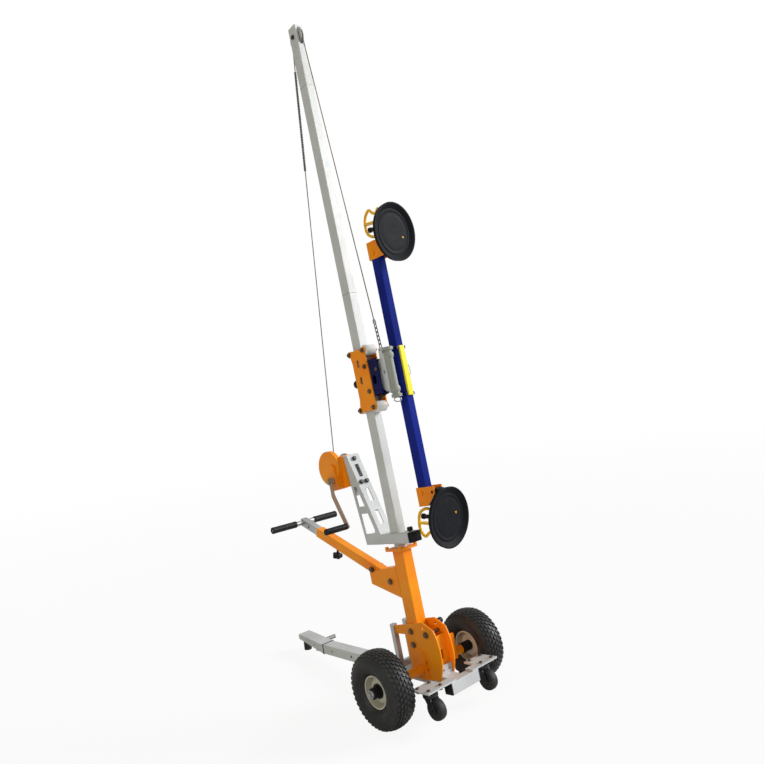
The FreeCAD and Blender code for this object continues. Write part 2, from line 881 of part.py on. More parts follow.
def handle_bracket():
    tip = bracket_root + bracket_reach
    outline = [(bracket_root, bracket_low), (bracket_root, bracket_high), (tip, bracket_tip_high),
               (tip, bracket_tip_low)]
    plates = []
    for side in (-1, 1):
        near, far = sorted((side * bracket_inner, side * (bracket_inner + bracket_plate_thickness)))
        plates.append(side_profile(outline, near, far))
    drop = (bracket_high - bracket_tip_high) * bracket_cover_reach / bracket_reach
    cover = [(bracket_root, bracket_high), (bracket_root + bracket_cover_reach, bracket_high - drop),
             (bracket_root + bracket_cover_reach, bracket_high - drop - bracket_plate_thickness),
             (bracket_root, bracket_high - bracket_plate_thickness)]
    return plates + [side_profile(cover, -bracket_inner, bracket_inner)]


# Handle: drawn level along Y from the arm's lower end, then raised to its slope
arm_start = bracket_root + arm_start_gap


def raised(shape):
    return turned_about_x(shape, arm_start, arm_start_height, arm_slope)


def arm_point(along, up):
    slope = math.radians(arm_slope)
    y = arm_start + along * math.cos(slope) - up * math.sin(slope)
    z = arm_start_height + along * math.sin(slope) + up * math.cos(slope)
    return y, z


def arm_bolt_places():
    return [arm_point(arm_length * share, 0) for share in arm_bolt_shares]


def level_tube(size, wall, start, end):
    half = size / 2
    high = arm_start_height + half
    low = arm_start_height - half
    outer = rounded(box(-half, half, start, end, low, high), Vector(0, 1, 0), edge_round)
    hollow = box(wall - half, half - wall, start - overrun, end + overrun, low + wall, high - wall)
    return outer.cut(hollow)


def handle_arm():
    tube = level_tube(arm_size, arm_wall, arm_start, arm_start + arm_length)
    y = arm_start + arm_length * knob_share
    low = arm_start_height - arm_size / 2
    hole = rod(Vector(0, y, low - overrun), Vector(0, y, low + arm_wall + overrun),
               knob_stem_radius + running_gap)
    cuts = [hole]
    for share in arm_bolt_shares:
        cuts.append(cross_rod(-arm_size, arm_size, arm_start + arm_length * share, arm_start_height,
                              post_bolt_radius + bolt_gap))
    return raised(tube.cut(cuts))


slider_size = arm_size - 2 * arm_wall - 2 * seat_gap


def cross_tube_along():
    return arm_length + slider_showing - cross_tube_radius


def handle_slider():
    end = arm_start + arm_length + slider_showing
    tube = level_tube(slider_size, slider_wall, end - slider_length, end)
    hole_y = arm_start + arm_length + slider_showing / 2
    hole = cross_rod(-arm_size, arm_size, hole_y, arm_start_height, slider_hole_radius)
    y = arm_start + cross_tube_along()
    half = cross_tube_length / 2
    bar = cross_rod(-half, half, y, arm_start_height, cross_tube_radius)
    return raised(tube.cut(hole).fuse(bar).removeSplitter())


def handle_grip(side):
    y = arm_start + cross_tube_along()
    outer = cross_tube_length / 2 + grip_round
    near, far = sorted((side * (outer - grip_length), side * outer))
    sleeve = cross_rod(near, far, y, arm_start_height, grip_radius)
    ends = [edge for edge in sleeve.Edges if len(edge.Vertexes) == 1]
    sleeve = sleeve.makeFillet(grip_round, ends)
    bar_end = side * cross_tube_length / 2
    bore_near, bore_far = sorted((side * (outer - grip_length - overrun), bar_end))
    return raised(sleeve.cut(cross_rod(bore_near, bore_far, y, arm_start_height, cross_tube_radius)))


def clamp_knob():
    y = arm_start + arm_length * knob_share
    top = arm_start_height - arm_size / 2
    seat = top - knob_stem_length
    core_radius = knob_radius * (1 - knob_lobe_share)
    core = rod(Vector(0, y, seat - knob_height), Vector(0, y, seat), core_radius)
    lobes = []
    for index in range(knob_lobes):
        angle = 2 * math.pi * index / knob_lobes
        x = core_radius * math.cos(angle)
        lobe_y = y + core_radius * math.sin(angle)
        lobes.append(rod(Vector(x, lobe_y, seat - knob_height), Vector(x, lobe_y, seat),
                         knob_radius * knob_lobe_share))
    stem = rod(Vector(0, y, seat), Vector(0, y, top + arm_wall), knob_stem_radius)
    return raised(core.fuse(lobes + [stem]).removeSplitter())


# Mast foot and winch bracket
flange_top = post_top + flange_thickness
arm_low = flange_top + seat_gap + spigot_height
arm_high = arm_low + foot_arm_height
upright_rear_top = foot_arm_rear + upright_lean
upright_top = arm_low + upright_height


def upright_rear(share):
    return foot_arm_rear + upright_lean * share


def upright_front(share):
    low_share = foot_arm_height / upright_height
    front_top = upright_rear_top - upright_tip
    part = (share - low_share) / (1 - low_share)
    return upright_root_front + (front_top - upright_root_front) * part


def upright_height_at(share):
    return arm_low + upright_height * share


def upright_plate(x_low, x_high):
    low_share = foot_arm_height / upright_height
    outline = [(foot_arm_rear, arm_low), (upright_rear_top, upright_top), (upright_front(1), upright_top),
               (upright_root_front, upright_height_at(low_share)), (upright_root_front, arm_low)]
    plate = side_profile(outline, x_low, x_high)
    cuts = []
    for low, high in (window_high_shares, window_low_shares):
        window = [(upright_rear(low) - window_rear_margin, upright_height_at(low)),
                  (upright_rear(high) - window_rear_margin, upright_height_at(high)),
                  (upright_front(high) + window_front_margin, upright_height_at(high)),
                  (upright_front(low) + window_front_margin, upright_height_at(low))]
        cuts.append(side_profile(window, x_low - overrun, x_high + overrun))
    return plate.cut(cuts)


slope_angle = math.degrees(math.atan2(upright_front(1) - upright_root_front, upright_top - arm_high))
slope_length = math.hypot(upright_front(1) - upright_root_front, upright_top - arm_high)
upright_inner = foot_arm_width / 2 - upright_thickness
rear_angle = math.degrees(math.atan2(upright_lean, upright_height))


def slope_plate():
    front = upright_root_front
    rear = front + slope_plate_thickness
    plate = box(-upright_inner, upright_inner, front, rear, arm_high, arm_high + slope_length)
    cuts = []
    for share, half_share in slope_slots_shares:
        middle = arm_high + slope_length * share
        half = slope_length * half_share / 2
        slot = box(-slope_slot_width / 2, slope_slot_width / 2, front - overrun, rear + overrun,
                   middle - half, middle + half)
        cuts.append(rounded(slot, Vector(0, 1, 0), edge_round))
    height = arm_high + slope_length * slope_hole_share
    for x in (-slope_hole_spacing / 2, slope_hole_spacing / 2):
        cuts.append(rod(Vector(x, front - overrun, height), Vector(x, rear + overrun, height),
                        slope_hole_radius))
    return turned_about_x(plate.cut(cuts), front, arm_high, -slope_angle)


def rear_plate():
    low = upright_height_at(1 - rear_plate_share)
    rear_low = upright_rear(1 - rear_plate_share)
    outline = [(rear_low, low), (upright_rear_top, upright_top),
               (upright_rear_top - rear_plate_thickness, upright_top),
               (rear_low - rear_plate_thickness, low)]
    return side_profile(outline, -upright_inner, upright_inner)


def winch_bracket():
    half = foot_arm_width / 2
    arm = rounded(box(-half, half, -foot_arm_front, foot_arm_rear, arm_low, arm_high), Vector(0, 1, 0),
                  edge_round)
    hollow = box(foot_arm_wall - half, half - foot_arm_wall, -foot_arm_front - overrun,
                 foot_arm_rear - foot_arm_wall,
                 arm_low + foot_arm_wall, arm_high - foot_arm_wall)
    collar = rod(Vector(0, post_centre, flange_top + seat_gap), Vector(0, post_centre, arm_low),
                 spigot_radius)
    stub = rod(Vector(0, post_centre, flange_top - spigot_stub_length), Vector(0, post_centre, arm_low),
               spigot_stub_radius)
    socket_width = mast_width / 2 - mast_wall - seat_gap
    socket_depth = mast_depth / 2 - mast_wall - seat_gap
    socket = box(-socket_width, socket_width, post_centre - socket_depth, post_centre + socket_depth,
                 arm_high - foot_arm_wall, arm_high + stub_height)
    plates = [upright_plate(-half, upright_thickness - half), upright_plate(half - upright_thickness, half)]
    extra = [collar, stub, socket, slope_plate(), rear_plate()] + plates
    return arm.cut(hollow).fuse(extra).removeSplitter()


def arm_cap():
    half = foot_arm_width / 2
    end = -foot_arm_front
    cap = box(-half, half, end - arm_cap_thickness, end, arm_low, arm_high)
    cap = rounded(cap, Vector(0, 1, 0), edge_round)
    inside = half - foot_arm_wall - seat_gap
    wall = foot_arm_wall + seat_gap
    plug = box(-inside, inside, end, end + arm_cap_plug, arm_low + wall, arm_high - wall)
    return cap.fuse(plug).removeSplitter()


# Mast sections, plugged end to end
def mast_section(low, high, plugged):
    tube = moved(box_tube(mast_width, mast_depth, mast_wall, mast_corner, low, high), 0, post_centre, 0)
    if not plugged:
        return tube
    half_width = mast_width / 2 - mast_wall
    half_depth = mast_depth / 2 - mast_wall
    filled = box(-half_width, half_width, post_centre - half_depth, post_centre + half_depth,
                 high - joint_plug_length, high)
    plug = box(seat_gap - half_width, half_width - seat_gap, post_centre - half_depth + seat_gap,
               post_centre + half_depth - seat_gap, high, high + joint_plug_length)
    return tube.fuse([filled, plug]).removeSplitter()


def mast_upper():
    tube = mast_section(mast_joints[1], mast_top, False)
    cap = box(mast_wall - mast_width / 2, mast_width / 2 - mast_wall, mast_front + mast_wall,
              mast_rear - mast_wall,
              mast_top - head_cap_thickness, mast_top)
    slot_half = pulley_width / 2 + pulley_slot_gap
    reach = math.sqrt(pulley_flange_radius ** 2 - (mast_depth / 2 - mast_wall) ** 2) + pulley_slot_gap
    slot = box(-slot_half, slot_half, mast_front - overrun, mast_rear + overrun, pulley_height - reach,
               pulley_height + reach)
    hole = cross_rod(-mast_width, mast_width, post_centre, pulley_height, pulley_pin_radius + running_gap)
    return tube.fuse(cap).removeSplitter().cut([slot, hole])


def pulley_pin():
    half = mast_width / 2
    shank = cross_rod(-half - pulley_pin_head_height, half + pulley_pin_head_height, post_centre,
                      pulley_height, pulley_pin_radius)
    heads = []
    for side in (-1, 1):
        near, far = sorted((side * half, side * (half + pulley_pin_head_height)))
        heads.append(cross_rod(near, far, post_centre, pulley_height, pulley_pin_head_radius))
    return shank.fuse(heads).removeSplitter()


def head_pulley():
    half = pulley_width / 2
    bore = pulley_pin_radius + running_gap
    groove = pulley_rope_radius - rope_radius - seat_gap
    flat = rope_radius + seat_gap
    lip = half - flat / 2
    wheel = turned([(-half, bore), (-half, pulley_flange_radius), (-lip, pulley_flange_radius),
                    (-flat, groove),
                    (flat, groove), (lip, pulley_flange_radius), (half, pulley_flange_radius), (half, bore)])
    return moved(wheel, 0, post_centre, pulley_height)


# Winch: drawn upright, out (+Y) and up (+Z) from the middle of its mounting plane, then set on the bracket
winch_y = upright_rear(winch_mount_share)
winch_z = upright_height_at(winch_mount_share)


def on_bracket(shape):
    return turned_about_x(moved(shape, 0, winch_y, winch_z), winch_y, winch_z, -rear_angle)


def winch_place(out, up):
    angle = math.radians(rear_angle)
    y = winch_y + out * math.cos(angle) + up * math.sin(angle)
    z = winch_z - out * math.sin(angle) + up * math.cos(angle)
    return y, z


winch_inner = winch_base_width / 2 - winch_side_thickness


def winch_side(x_low, x_high):
    half = winch_base_height / 2
    outline = [(0, -half), (0, half), (drum_out, drum_up + drum_core_radius),
               (drum_out + drum_core_radius, drum_up),
               (pinion_out + pinion_radius, pinion_up - 2 * pinion_radius),
               (pinion_out - pinion_radius, -half)]
    return side_profile(outline, x_low, x_high)


def winch_frame():
    half_width = winch_base_width / 2
    half = winch_base_height / 2
    base = box(-half_width, half_width, 0, winch_base_thickness, -half, half)
    sides = [winch_side(-half_width, -winch_inner), winch_side(winch_inner, half_width)]
    frame = base.fuse(sides).removeSplitter()
    reach = half_width + overrun
    cuts = [cross_rod(-reach, reach, drum_out, drum_up, drum_shaft_radius + running_gap),
            cross_rod(-reach, reach, pinion_out, pinion_up, crank_shaft_radius + running_gap)]
    return on_bracket(frame.cut(cuts))


def winch_cover():
    start = -winch_base_width / 2 - seat_gap
    end = start - cover_depth
    disc = cross_rod(end, start, drum_out, drum_up, cover_radius)
    half_width = pinion_cover_width / 2
    half_height = pinion_cover_height / 2
    middle = pinion_up + half_width / 2
    block = box(end - pinion_cover_depth, start, pinion_out - half_width, pinion_out + half_width,
                middle - half_height, middle + half_height)
    block = rounded(block, Vector(1, 0, 0), half_width - edge_round)
    shell = disc.fuse(block).removeSplitter()
    gear_room = cross_rod(end + cover_wall, start + overrun, drum_out, drum_up, cover_radius - cover_wall)
    pinion_room = cross_rod(end + cover_wall, start + overrun, pinion_out, pinion_up,
                            pinion_radius + cover_wall)
    hole = cross_rod(end - pinion_cover_depth - overrun, start + overrun, pinion_out, pinion_up,
                     crank_shaft_radius + running_gap)
    return on_bracket(shell.cut([gear_room, pinion_room, hole]))


def winch_drum():
    inside = winch_inner - drum_side_gap
    flange = inside - drum_flange_thickness
    shaft_far = winch_base_width / 2 + drum_side_gap
    gear_start = -winch_base_width / 2 - drum_side_gap
    profile = [(-inside, 0), (-inside, drum_flange_radius), (-flange, drum_flange_radius),
               (-flange, drum_core_radius),
               (flange, drum_core_radius), (flange, drum_flange_radius), (inside, drum_flange_radius),
               (inside, 0)]
    drum = turned(profile)
    shaft = cross_rod(gear_start - gear_width, shaft_far, 0, 0, drum_shaft_radius)
    gear = cross_rod(gear_start - gear_width, gear_start, 0, 0, gear_radius)
    body = drum.fuse([shaft, gear]).removeSplitter()
    return on_bracket(moved(body, 0, drum_out, drum_up))


def crank():
    cover_end = -winch_base_width / 2 - seat_gap - cover_depth - pinion_cover_depth
    hub_start = cover_end - seat_gap
    shaft = cross_rod(hub_start - crank_hub_length, winch_base_width / 2 + drum_side_gap, 0, 0,
                      crank_shaft_radius)
    hub_piece = cross_rod(hub_start - crank_hub_length, hub_start, 0, 0, crank_hub_radius)
    gear_start = -winch_base_width / 2 - drum_side_gap
    pinion = cross_rod(gear_start - pinion_width, gear_start, 0, 0, pinion_radius)
    x = hub_start - crank_hub_length
    first, second = (crank_length * share for share in crank_bend_shares)
    out = x - crank_offset
    thick = crank_bar_thickness
    outline = [(x, crank_hub_radius), (x, -first), (out, -second), (out, -crank_length - crank_bar_width / 2),
               (out - thick, -crank_length - crank_bar_width / 2), (out - thick, -second),
               (x - thick, -first),
               (x - thick, crank_hub_radius)]
    bar = front_profile(outline, -crank_bar_width / 2, crank_bar_width / 2)
    stud = cross_rod(out - thick - crank_grip_length + 2 * grip_round, out, 0, -crank_length, crank_grip_bore)
    body = shaft.fuse([hub_piece, pinion, bar, stud]).removeSplitter()
    return on_bracket(moved(turned_about_x(body, 0, 0, rear_angle - crank_swing), 0, pinion_out, pinion_up))


def crank_grip_start():
    cover_end = -winch_base_width / 2 - seat_gap - cover_depth - pinion_cover_depth
    return cover_end - seat_gap - crank_hub_length - crank_offset - crank_bar_thickness - seat_gap


def crank_grip():
    start = crank_grip_start()
    sleeve = cross_rod(start - crank_grip_length, start, 0, -crank_length, crank_grip_radius)
    sleeve = sleeve.makeFillet(grip_round, [edge for edge in sleeve.Edges if len(edge.Vertexes) == 1])
    bore = cross_rod(start - crank_grip_length + grip_round, start + overrun, 0, -crank_length,
                     crank_grip_bore + running_gap)
    body = sleeve.cut(bore)
    return on_bracket(moved(turned_about_x(body, 0, 0, rear_angle - crank_swing), 0, pinion_out, pinion_up))


# Hoist rope: a straight run from the drum, over the pulley, and a straight run down to the hook
drum_y, drum_z = winch_place(drum_out, drum_up)
drum_rope_radius = drum_core_radius + rope_radius + seat_gap


# Where a straight run to the point toward leaves a circle of that radius
def tangent_point(centre, radius, toward, side):
    dy = toward[0] - centre[0]
    dz = toward[1] - centre[1]
    angle = math.atan2(dz, dy) + side * math.acos(radius / math.hypot(dy, dz))
    return centre[0] + radius * math.cos(angle), centre[1] + radius * math.sin(angle)


# The run on the rear side of the drum and the pulley
def outer_tangent():
    dy = drum_y - post_centre
    dz = drum_z - pulley_height
    angle = math.atan2(dz, dy) + math.acos((pulley_rope_radius - drum_rope_radius) / math.hypot(dy, dz))
    top = (post_centre + pulley_rope_radius * math.cos(angle),
           pulley_height + pulley_rope_radius * math.sin(angle))
    low = drum_y + drum_rope_radius * math.cos(angle), drum_z + drum_rope_radius * math.sin(angle)
    return top, low


hook_place = (-hook_front, carriage_height + hook_rise)


def rope_front_top():
    return tangent_point((post_centre, pulley_height), pulley_rope_radius, hook_place, -1)


def rope_tube(edges, radius):
    path = Part.Wire(edges)
    start = edges[0].valueAt(edges[0].FirstParameter)
    along = edges[0].tangentAt(edges[0].FirstParameter)
    ring = Part.Wire(Part.makeCircle(radius, start, along))
    return path.makePipeShell([ring], True, False)


def hoist_rope():
    top, low = outer_tangent()
    front = rope_front_top()
    crest = Vector(0, post_centre, pulley_height + pulley_rope_radius)
    start = Vector(0, *low)
    rise = Vector(0, *top)
    edges = [Part.makeLine(start, rise), Part.Arc(rise, crest, Vector(0, *front)).toShape()]
    rope = rope_tube(edges, rope_radius)
    along = start - rise
    near, far = (rise + along * share for share in rope_sleeve_shares)
    return rope.fuse(rod(near, far, rope_sleeve_radius)).removeSplitter()


def lift_rope():
    top = Vector(0, *rope_front_top())
    eye = Vector(0, *hook_place)
    along = (top - eye).normalize()
    return rod(top, eye + along * (hook_eye_radius + seat_gap), rope_radius)


# Carriage: two plates on four rollers, with the tilt bracket in front
front_axle = mast_front - roller_gap - front_roller_radius
rear_axle = mast_rear + roller_gap + rear_roller_radius
roller_heights = (carriage_height + roller_spacing / 2, carriage_height - roller_spacing / 2)
carriage_inner = roller_length / 2 + carriage_plate_gap
carriage_outer = carriage_inner + carriage_plate_thickness


def roller(radius, y, z):
    half = roller_length / 2
    bore = roller_bore + running_gap
    body = turned([(-half, bore), (-half, radius - roller_round), (-half + roller_round, radius),
                   (half - roller_round, radius), (half, radius - roller_round), (half, bore)])
    return moved(body, 0, y, z)


def carriage_plate(x_low, x_high):
    high, low = roller_heights
    depth = rear_axle - front_axle
    waist = carriage_boss_radius * (1 - carriage_waist_share)
    belly = carriage_height - roller_spacing * carriage_belly_share
    body = [(rear_axle, high), (rear_axle - carriage_boss_radius, high + waist), (front_axle, high + waist),
            (front_axle - waist, high),
            (front_axle - waist, carriage_height + roller_spacing * carriage_waist_share),
            (front_axle - carriage_boss_radius, carriage_height + roller_spacing * carriage_nose_share),
            (front_axle - carriage_boss_radius, belly), (front_axle - carriage_boss_radius, low),
            (front_axle, low - waist), (rear_axle, low - waist), (rear_axle, low),
            (rear_axle - waist, belly),
            (rear_axle - waist, carriage_height + roller_spacing * carriage_waist_share)]
    plate = side_profile(body, x_low, x_high)
    bosses = []
    for y in (front_axle, rear_axle):
        bosses += [cross_rod(x_low, x_high, y, z, carriage_boss_radius) for z in roller_heights]
    plate = plate.fuse(bosses).removeSplitter()
    cuts = []
    for y, z in carriage_bolt_places():
        cuts.append(cross_rod(x_low - overrun, x_high + overrun, y, z, roller_bore + bolt_gap))
    middle = (front_axle + rear_axle) / 2
    for rise in (carriage_window_share, 0):
        z = carriage_height + roller_spacing * rise
        window = box(x_low - overrun, x_high + overrun, middle - carriage_window_width / 2,
                     middle + carriage_window_width / 2,
                     z - carriage_window_height / 2, z + carriage_window_height / 2)
        cuts.append(rounded(window, Vector(1, 0, 0), carriage_window_width * slot_round_share))
    for y, z in tilt_bolt_places():
        cuts.append(cross_rod(x_low - overrun, x_high + overrun, y, z, tilt_bolt_radius + bolt_gap))
    return plate.cut(cuts)


def carriage_bolt_places():
    return [(y, z) for y in (front_axle, rear_axle) for z in roller_heights]


def tilt_bolt_places():
    y = front_axle + tilt_bolt_back - carriage_boss_radius / 2
    return [(y, carriage_height + tilt_bolt_rise), (y, carriage_height - tilt_bolt_rise)]


def headed_bolt(y, z, radius, half, head_radius, head_height):
    shank = cross_rod(-half, half, y, z, radius)
    heads = [cross_rod(-half - head_height, -half, y, z, head_radius),
             cross_rod(half, half + head_height, y, z, head_radius)]
    return shank.fuse(heads).removeSplitter()


def carriage_bolts():
    bolts = []
    for y, z in carriage_bolt_places():
        bolts.append(headed_bolt(y, z, roller_bore, carriage_outer, carriage_head_radius,
                                 carriage_head_height))
    for y, z in tilt_bolt_places():
        bolts.append(headed_bolt(y, z, tilt_bolt_radius, carriage_outer, tilt_bolt_head_radius,
                                 tilt_bolt_head_height))
    bolts.append(cross_rod(-carriage_inner, carriage_inner, -tilt_pivot_front, tilt_pivot_height,
                           tilt_pin_radius))
    return group(bolts)


def tilt_bracket():
    outer = carriage_inner
    inner = outer - tilt_bracket_thickness
    half = tilt_bracket_height / 2
    front = -tilt_bracket_front
    rear = mast_front - tilt_bracket_rear
    outline = [(rear, carriage_height - half), (rear, carriage_height + half),
               (front, carriage_height + half), (front, carriage_height - half)]
    cheeks = [side_profile(outline, -outer, -inner), side_profile(outline, inner, outer)]
    web = box(-outer, outer, rear - tilt_bracket_thickness, rear, carriage_height - half,
              carriage_height + half)
    body = web.fuse(cheeks).removeSplitter()
    window_y = -tilt_bracket_window_front
    window_z = carriage_height - tilt_bracket_window_drop
    half_width = tilt_bracket_window_width / 2
    half_height = tilt_bracket_window_height / 2
    window = box(-outer - overrun, outer + overrun, window_y - half_width, window_y + half_width,
                 window_z - half_height, window_z + half_height)
    window = rounded(window, Vector(1, 0, 0), half_width - seat_gap)
    pin_hole = cross_rod(-outer - overrun, outer + overrun, -tilt_pivot_front, tilt_pivot_height,
                         tilt_pin_radius + running_gap)
    cuts = [window, pin_hole]
    for y, z in tilt_bolt_places():
        cuts.append(cross_rod(-outer - overrun, outer + overrun, y, z, tilt_bolt_radius + bolt_gap))
    return body.cut(cuts)


# The strap behind the mast that joins the plates and carries the rear knob
def carriage_strap():
    half = rear_strap_height / 2
    start = rear_axle - carriage_boss_radius * (1 - carriage_waist_share) - rear_strap_thickness
    strap = box(-carriage_inner, carriage_inner, start, start + rear_strap_thickness,
                carriage_height - half, carriage_height + half)
    hole = rod(Vector(0, start - overrun, carriage_height - rear_knob_drop),
               Vector(0, start + rear_strap_thickness + overrun, carriage_height - rear_knob_drop),
               carriage_pin_radius + bolt_gap)
    return strap.cut(hole)


def rear_knob():
    start = rear_axle - carriage_boss_radius * (1 - carriage_waist_share)
    half = rear_knob_size / 2
    z = carriage_height - rear_knob_drop
    knob = rounded(box(-half, half, start, start + rear_knob_depth, z - half, z + half), Vector(0, 1, 0),
                   edge_round)
    stem = rod(Vector(0, start - rear_strap_thickness, z), Vector(0, start, z), carriage_pin_radius)
    return knob.fuse(stem).removeSplitter()


# Tilt head and suction frame are drawn upright, then tilted forward by their own small lean
tilt_pivot_height = carriage_height + tilt_pivot_rise


def framed(shape):
    return turned_about_x(shape, -tilt_pivot_front, tilt_pivot_height, frame_lean)


# What hangs on the hinge post stands to its right and turned a little about it
def panned(shape):
    copy = moved(shape, bar_side, 0, 0)
    copy.rotate(Vector(0, -head_post_front, 0), Vector(0, 0, 1), frame_pan)
    return framed(copy)


# Tilting head: a half moon between the bracket's cheeks with a hinge post in front
def tilt_head():
    half = quadrant_thickness / 2
    chord = -quadrant_chord
    low = Vector(-half, chord, carriage_height - quadrant_half_height)
    high = Vector(-half, chord, carriage_height + quadrant_half_height)
    crest = Vector(-half, -quadrant_crest, carriage_height)
    edges = [Part.Arc(low, crest, high).toShape(), Part.makeLine(high, low)]
    moon = Part.Face(Part.Wire(edges)).extrude(Vector(quadrant_thickness, 0, 0))
    joint = box(-half, half, -head_post_front, chord, low.z, high.z)
    reach = head_post_half_height
    post_low = Vector(0, -head_post_front, carriage_height - reach)
    post_high = Vector(0, -head_post_front, carriage_height + reach)
    inset = Vector(0, 0, head_boss_radius - seat_gap)
    knuckles = [Part.makeSphere(head_boss_radius, post_low + inset),
                Part.makeSphere(head_boss_radius, post_high - inset)]
    eye = cross_rod(-half, half, hook_place[0], hook_place[1], hook_eye_radius)
    neck = box(-half, half, hook_place[0] - hook_eye_radius, hook_place[0] + hook_eye_radius,
               carriage_height + quadrant_half_height * hook_neck_share, hook_place[1])
    body = moon.fuse([joint, rod(post_low, post_high, head_post_radius), eye,
                      neck] + knuckles).removeSplitter()
    slot = box(-half - overrun, half + overrun, -quadrant_hole_front - quadrant_hole_radius,
               quadrant_hole_radius - quadrant_hole_front, carriage_height,
               carriage_height + quadrant_hole_length)
    cuts = [cross_rod(-half - overrun, half + overrun, -tilt_pivot_front, tilt_pivot_height,
                      tilt_pin_radius + running_gap),
            cross_rod(-half - overrun, half + overrun, hook_place[0], hook_place[1], hook_eye_bore),
            rounded(slot, Vector(1, 0, 0), quadrant_hole_radius - seat_gap),
            rod(post_low - Vector(0, 0, overrun), post_high + Vector(0, 0, overrun),
                hinge_pin_radius + running_gap)]
    return framed(body.cut(cuts))


bar_side = head_boss_radius + bar_gap_to_post + bar_size / 2
bar_y = bar_setback - head_post_front
bar_front = bar_y - bar_size / 2
bar_rear = bar_y + bar_size / 2
bar_top = carriage_height + bar_top_rise
bar_bottom = carriage_height - bar_bottom_drop


def lift_bar():
    tube = box_tube(bar_size, bar_size, bar_wall, bar_corner, bar_bottom, bar_top)
    return panned(moved(tube, 0, bar_y, 0))


# The hinge strap: collars round the bar, ears on the head's pin, and the front plate
def bar_clamp():
    inside = bar_size / 2 + seat_gap
    outer = inside + clamp_collar_wall
    reach = head_post_half_height + seat_gap + hinge_ear_length
    ear_half = hinge_ear_width / 2
    collars = []
    for sign in (-1, 1):
        near, far = sorted((carriage_height + sign * (reach - hinge_ear_length),
                            carriage_height + sign * reach))
        collar = box(-outer, outer, bar_y - outer, bar_y + outer, near, far)
        room = box(-inside, inside, bar_y - inside, bar_y + inside, near - overrun, far + overrun)
        ear = box(-bar_side, -inside, -head_post_front - ear_half, ear_half - head_post_front, near, far)
        boss_low = Vector(-bar_side, -head_post_front, near)
        boss = rod(boss_low, boss_low + Vector(0, 0, hinge_ear_length), head_boss_radius)
        collars += [collar.cut(room), ear, boss]
    pin_low = Vector(-bar_side, -head_post_front, carriage_height - reach)
    pin = rod(pin_low, pin_low + Vector(0, 0, 2 * reach), hinge_pin_radius)
    back = bar_front - seat_gap
    plate = box(-clamp_plate_width / 2, clamp_plate_width / 2, back - clamp_plate_thickness, back,
                carriage_height - reach, carriage_height + reach)
    plate = rounded(plate, Vector(0, 0, 1), edge_round)
    return panned(collars[0].fuse(collars[1:] + [pin, plate]).removeSplitter())


# Each cup unit is drawn with its axis level along Y; sign is 1 at the bar's top and -1 at its bottom
def bar_end(sign):
    return bar_top if sign > 0 else bar_bottom


def cup_axis_height(sign):
    reach = upper_axis_reach if sign > 0 else lower_axis_reach
    return bar_end(sign) + sign * reach


def cup_pivot_height(sign):
    return bar_end(sign) - sign * cup_pivot_inset


cup_pivot_y = bar_front - cup_pivot_reach
pad_face = cup_pivot_y - pad_front
pad_back = pad_face + pad_body_depth


def handle_rear(sign):
    return cup_pivot_y + (upper_handle_reach if sign > 0 else lower_handle_reach)


def handle_start(sign):
    return bar_end(sign) + sign * (upper_handle_gap if sign > 0 else lower_handle_gap)


def cup_bracket(sign):
    end = bar_end(sign)
    lap = cup_bracket_lap
    inside = bar_size / 2 + seat_gap
    outside = inside + cup_bracket_wall
    rear = bar_rear + seat_gap + cup_bracket_wall
    front = cup_pivot_y - cup_bracket_nose / 2
    shoulder = end - sign * lap * cup_bracket_shoulder_share
    outline = [(rear, end), (bar_front, end), (front, shoulder), (front, end - sign * lap),
               (rear, end - sign * lap)]
    bolt_z = end - sign * lap * cup_bracket_bolt_share
    pieces_here = []
    for side in (-1, 1):
        near, far = sorted((side * inside, side * outside))
        cheek = side_profile(outline, near, far)
        hole = cross_rod(near - overrun, far + overrun, cup_pivot_y, cup_pivot_height(sign),
                         cup_pin_radius + running_gap)
        head_near, head_far = sorted((side * outside, side * (outside + tilt_bolt_head_height)))
        head = cross_rod(head_near, head_far, bar_y, bolt_z, tilt_bolt_head_radius)
        pieces_here += [cheek.cut(hole), head]
    low, high = sorted((end, end - sign * lap))
    back = box(-inside, inside, bar_rear + seat_gap, rear, low, high)
    return panned(back.fuse(pieces_here).removeSplitter())


def nodded(shape, sign):
    return panned(turned_about_x(shape, cup_pivot_y, cup_pivot_height(sign), cup_nod))


# The pad's outline for turning, its face toward +X: dished face, soft lip and stiff back
def pad_profile():
    depth = pad_body_depth
    step = pad_body_radius * pad_step_share
    waist = pad_radius * pad_step_share
    return [(0, 0), (-depth, 0), (-depth, step), (-depth * pad_step_share, pad_body_radius),
            (-pad_lip_thickness * 2, waist), (-pad_lip_thickness, pad_radius - pad_lip_thickness / 2),
            (pad_dish_depth, pad_radius), (pad_dish_depth, pad_radius - pad_lip_thickness),
            (-pad_lip_thickness / 2, waist), (0, pad_body_radius)]


def plunger_height(sign):
    return handle_start(sign) + sign * pump_handle_length * plunger_place_share


def pump_block(sign):
    half = pump_block_width / 2
    web = handle_start(sign) + sign * pump_handle_length * pump_web_share
    low, high = sorted((handle_start(sign), web))
    return box(-half, half, pad_face, pad_back + pump_block_depth, low, high)


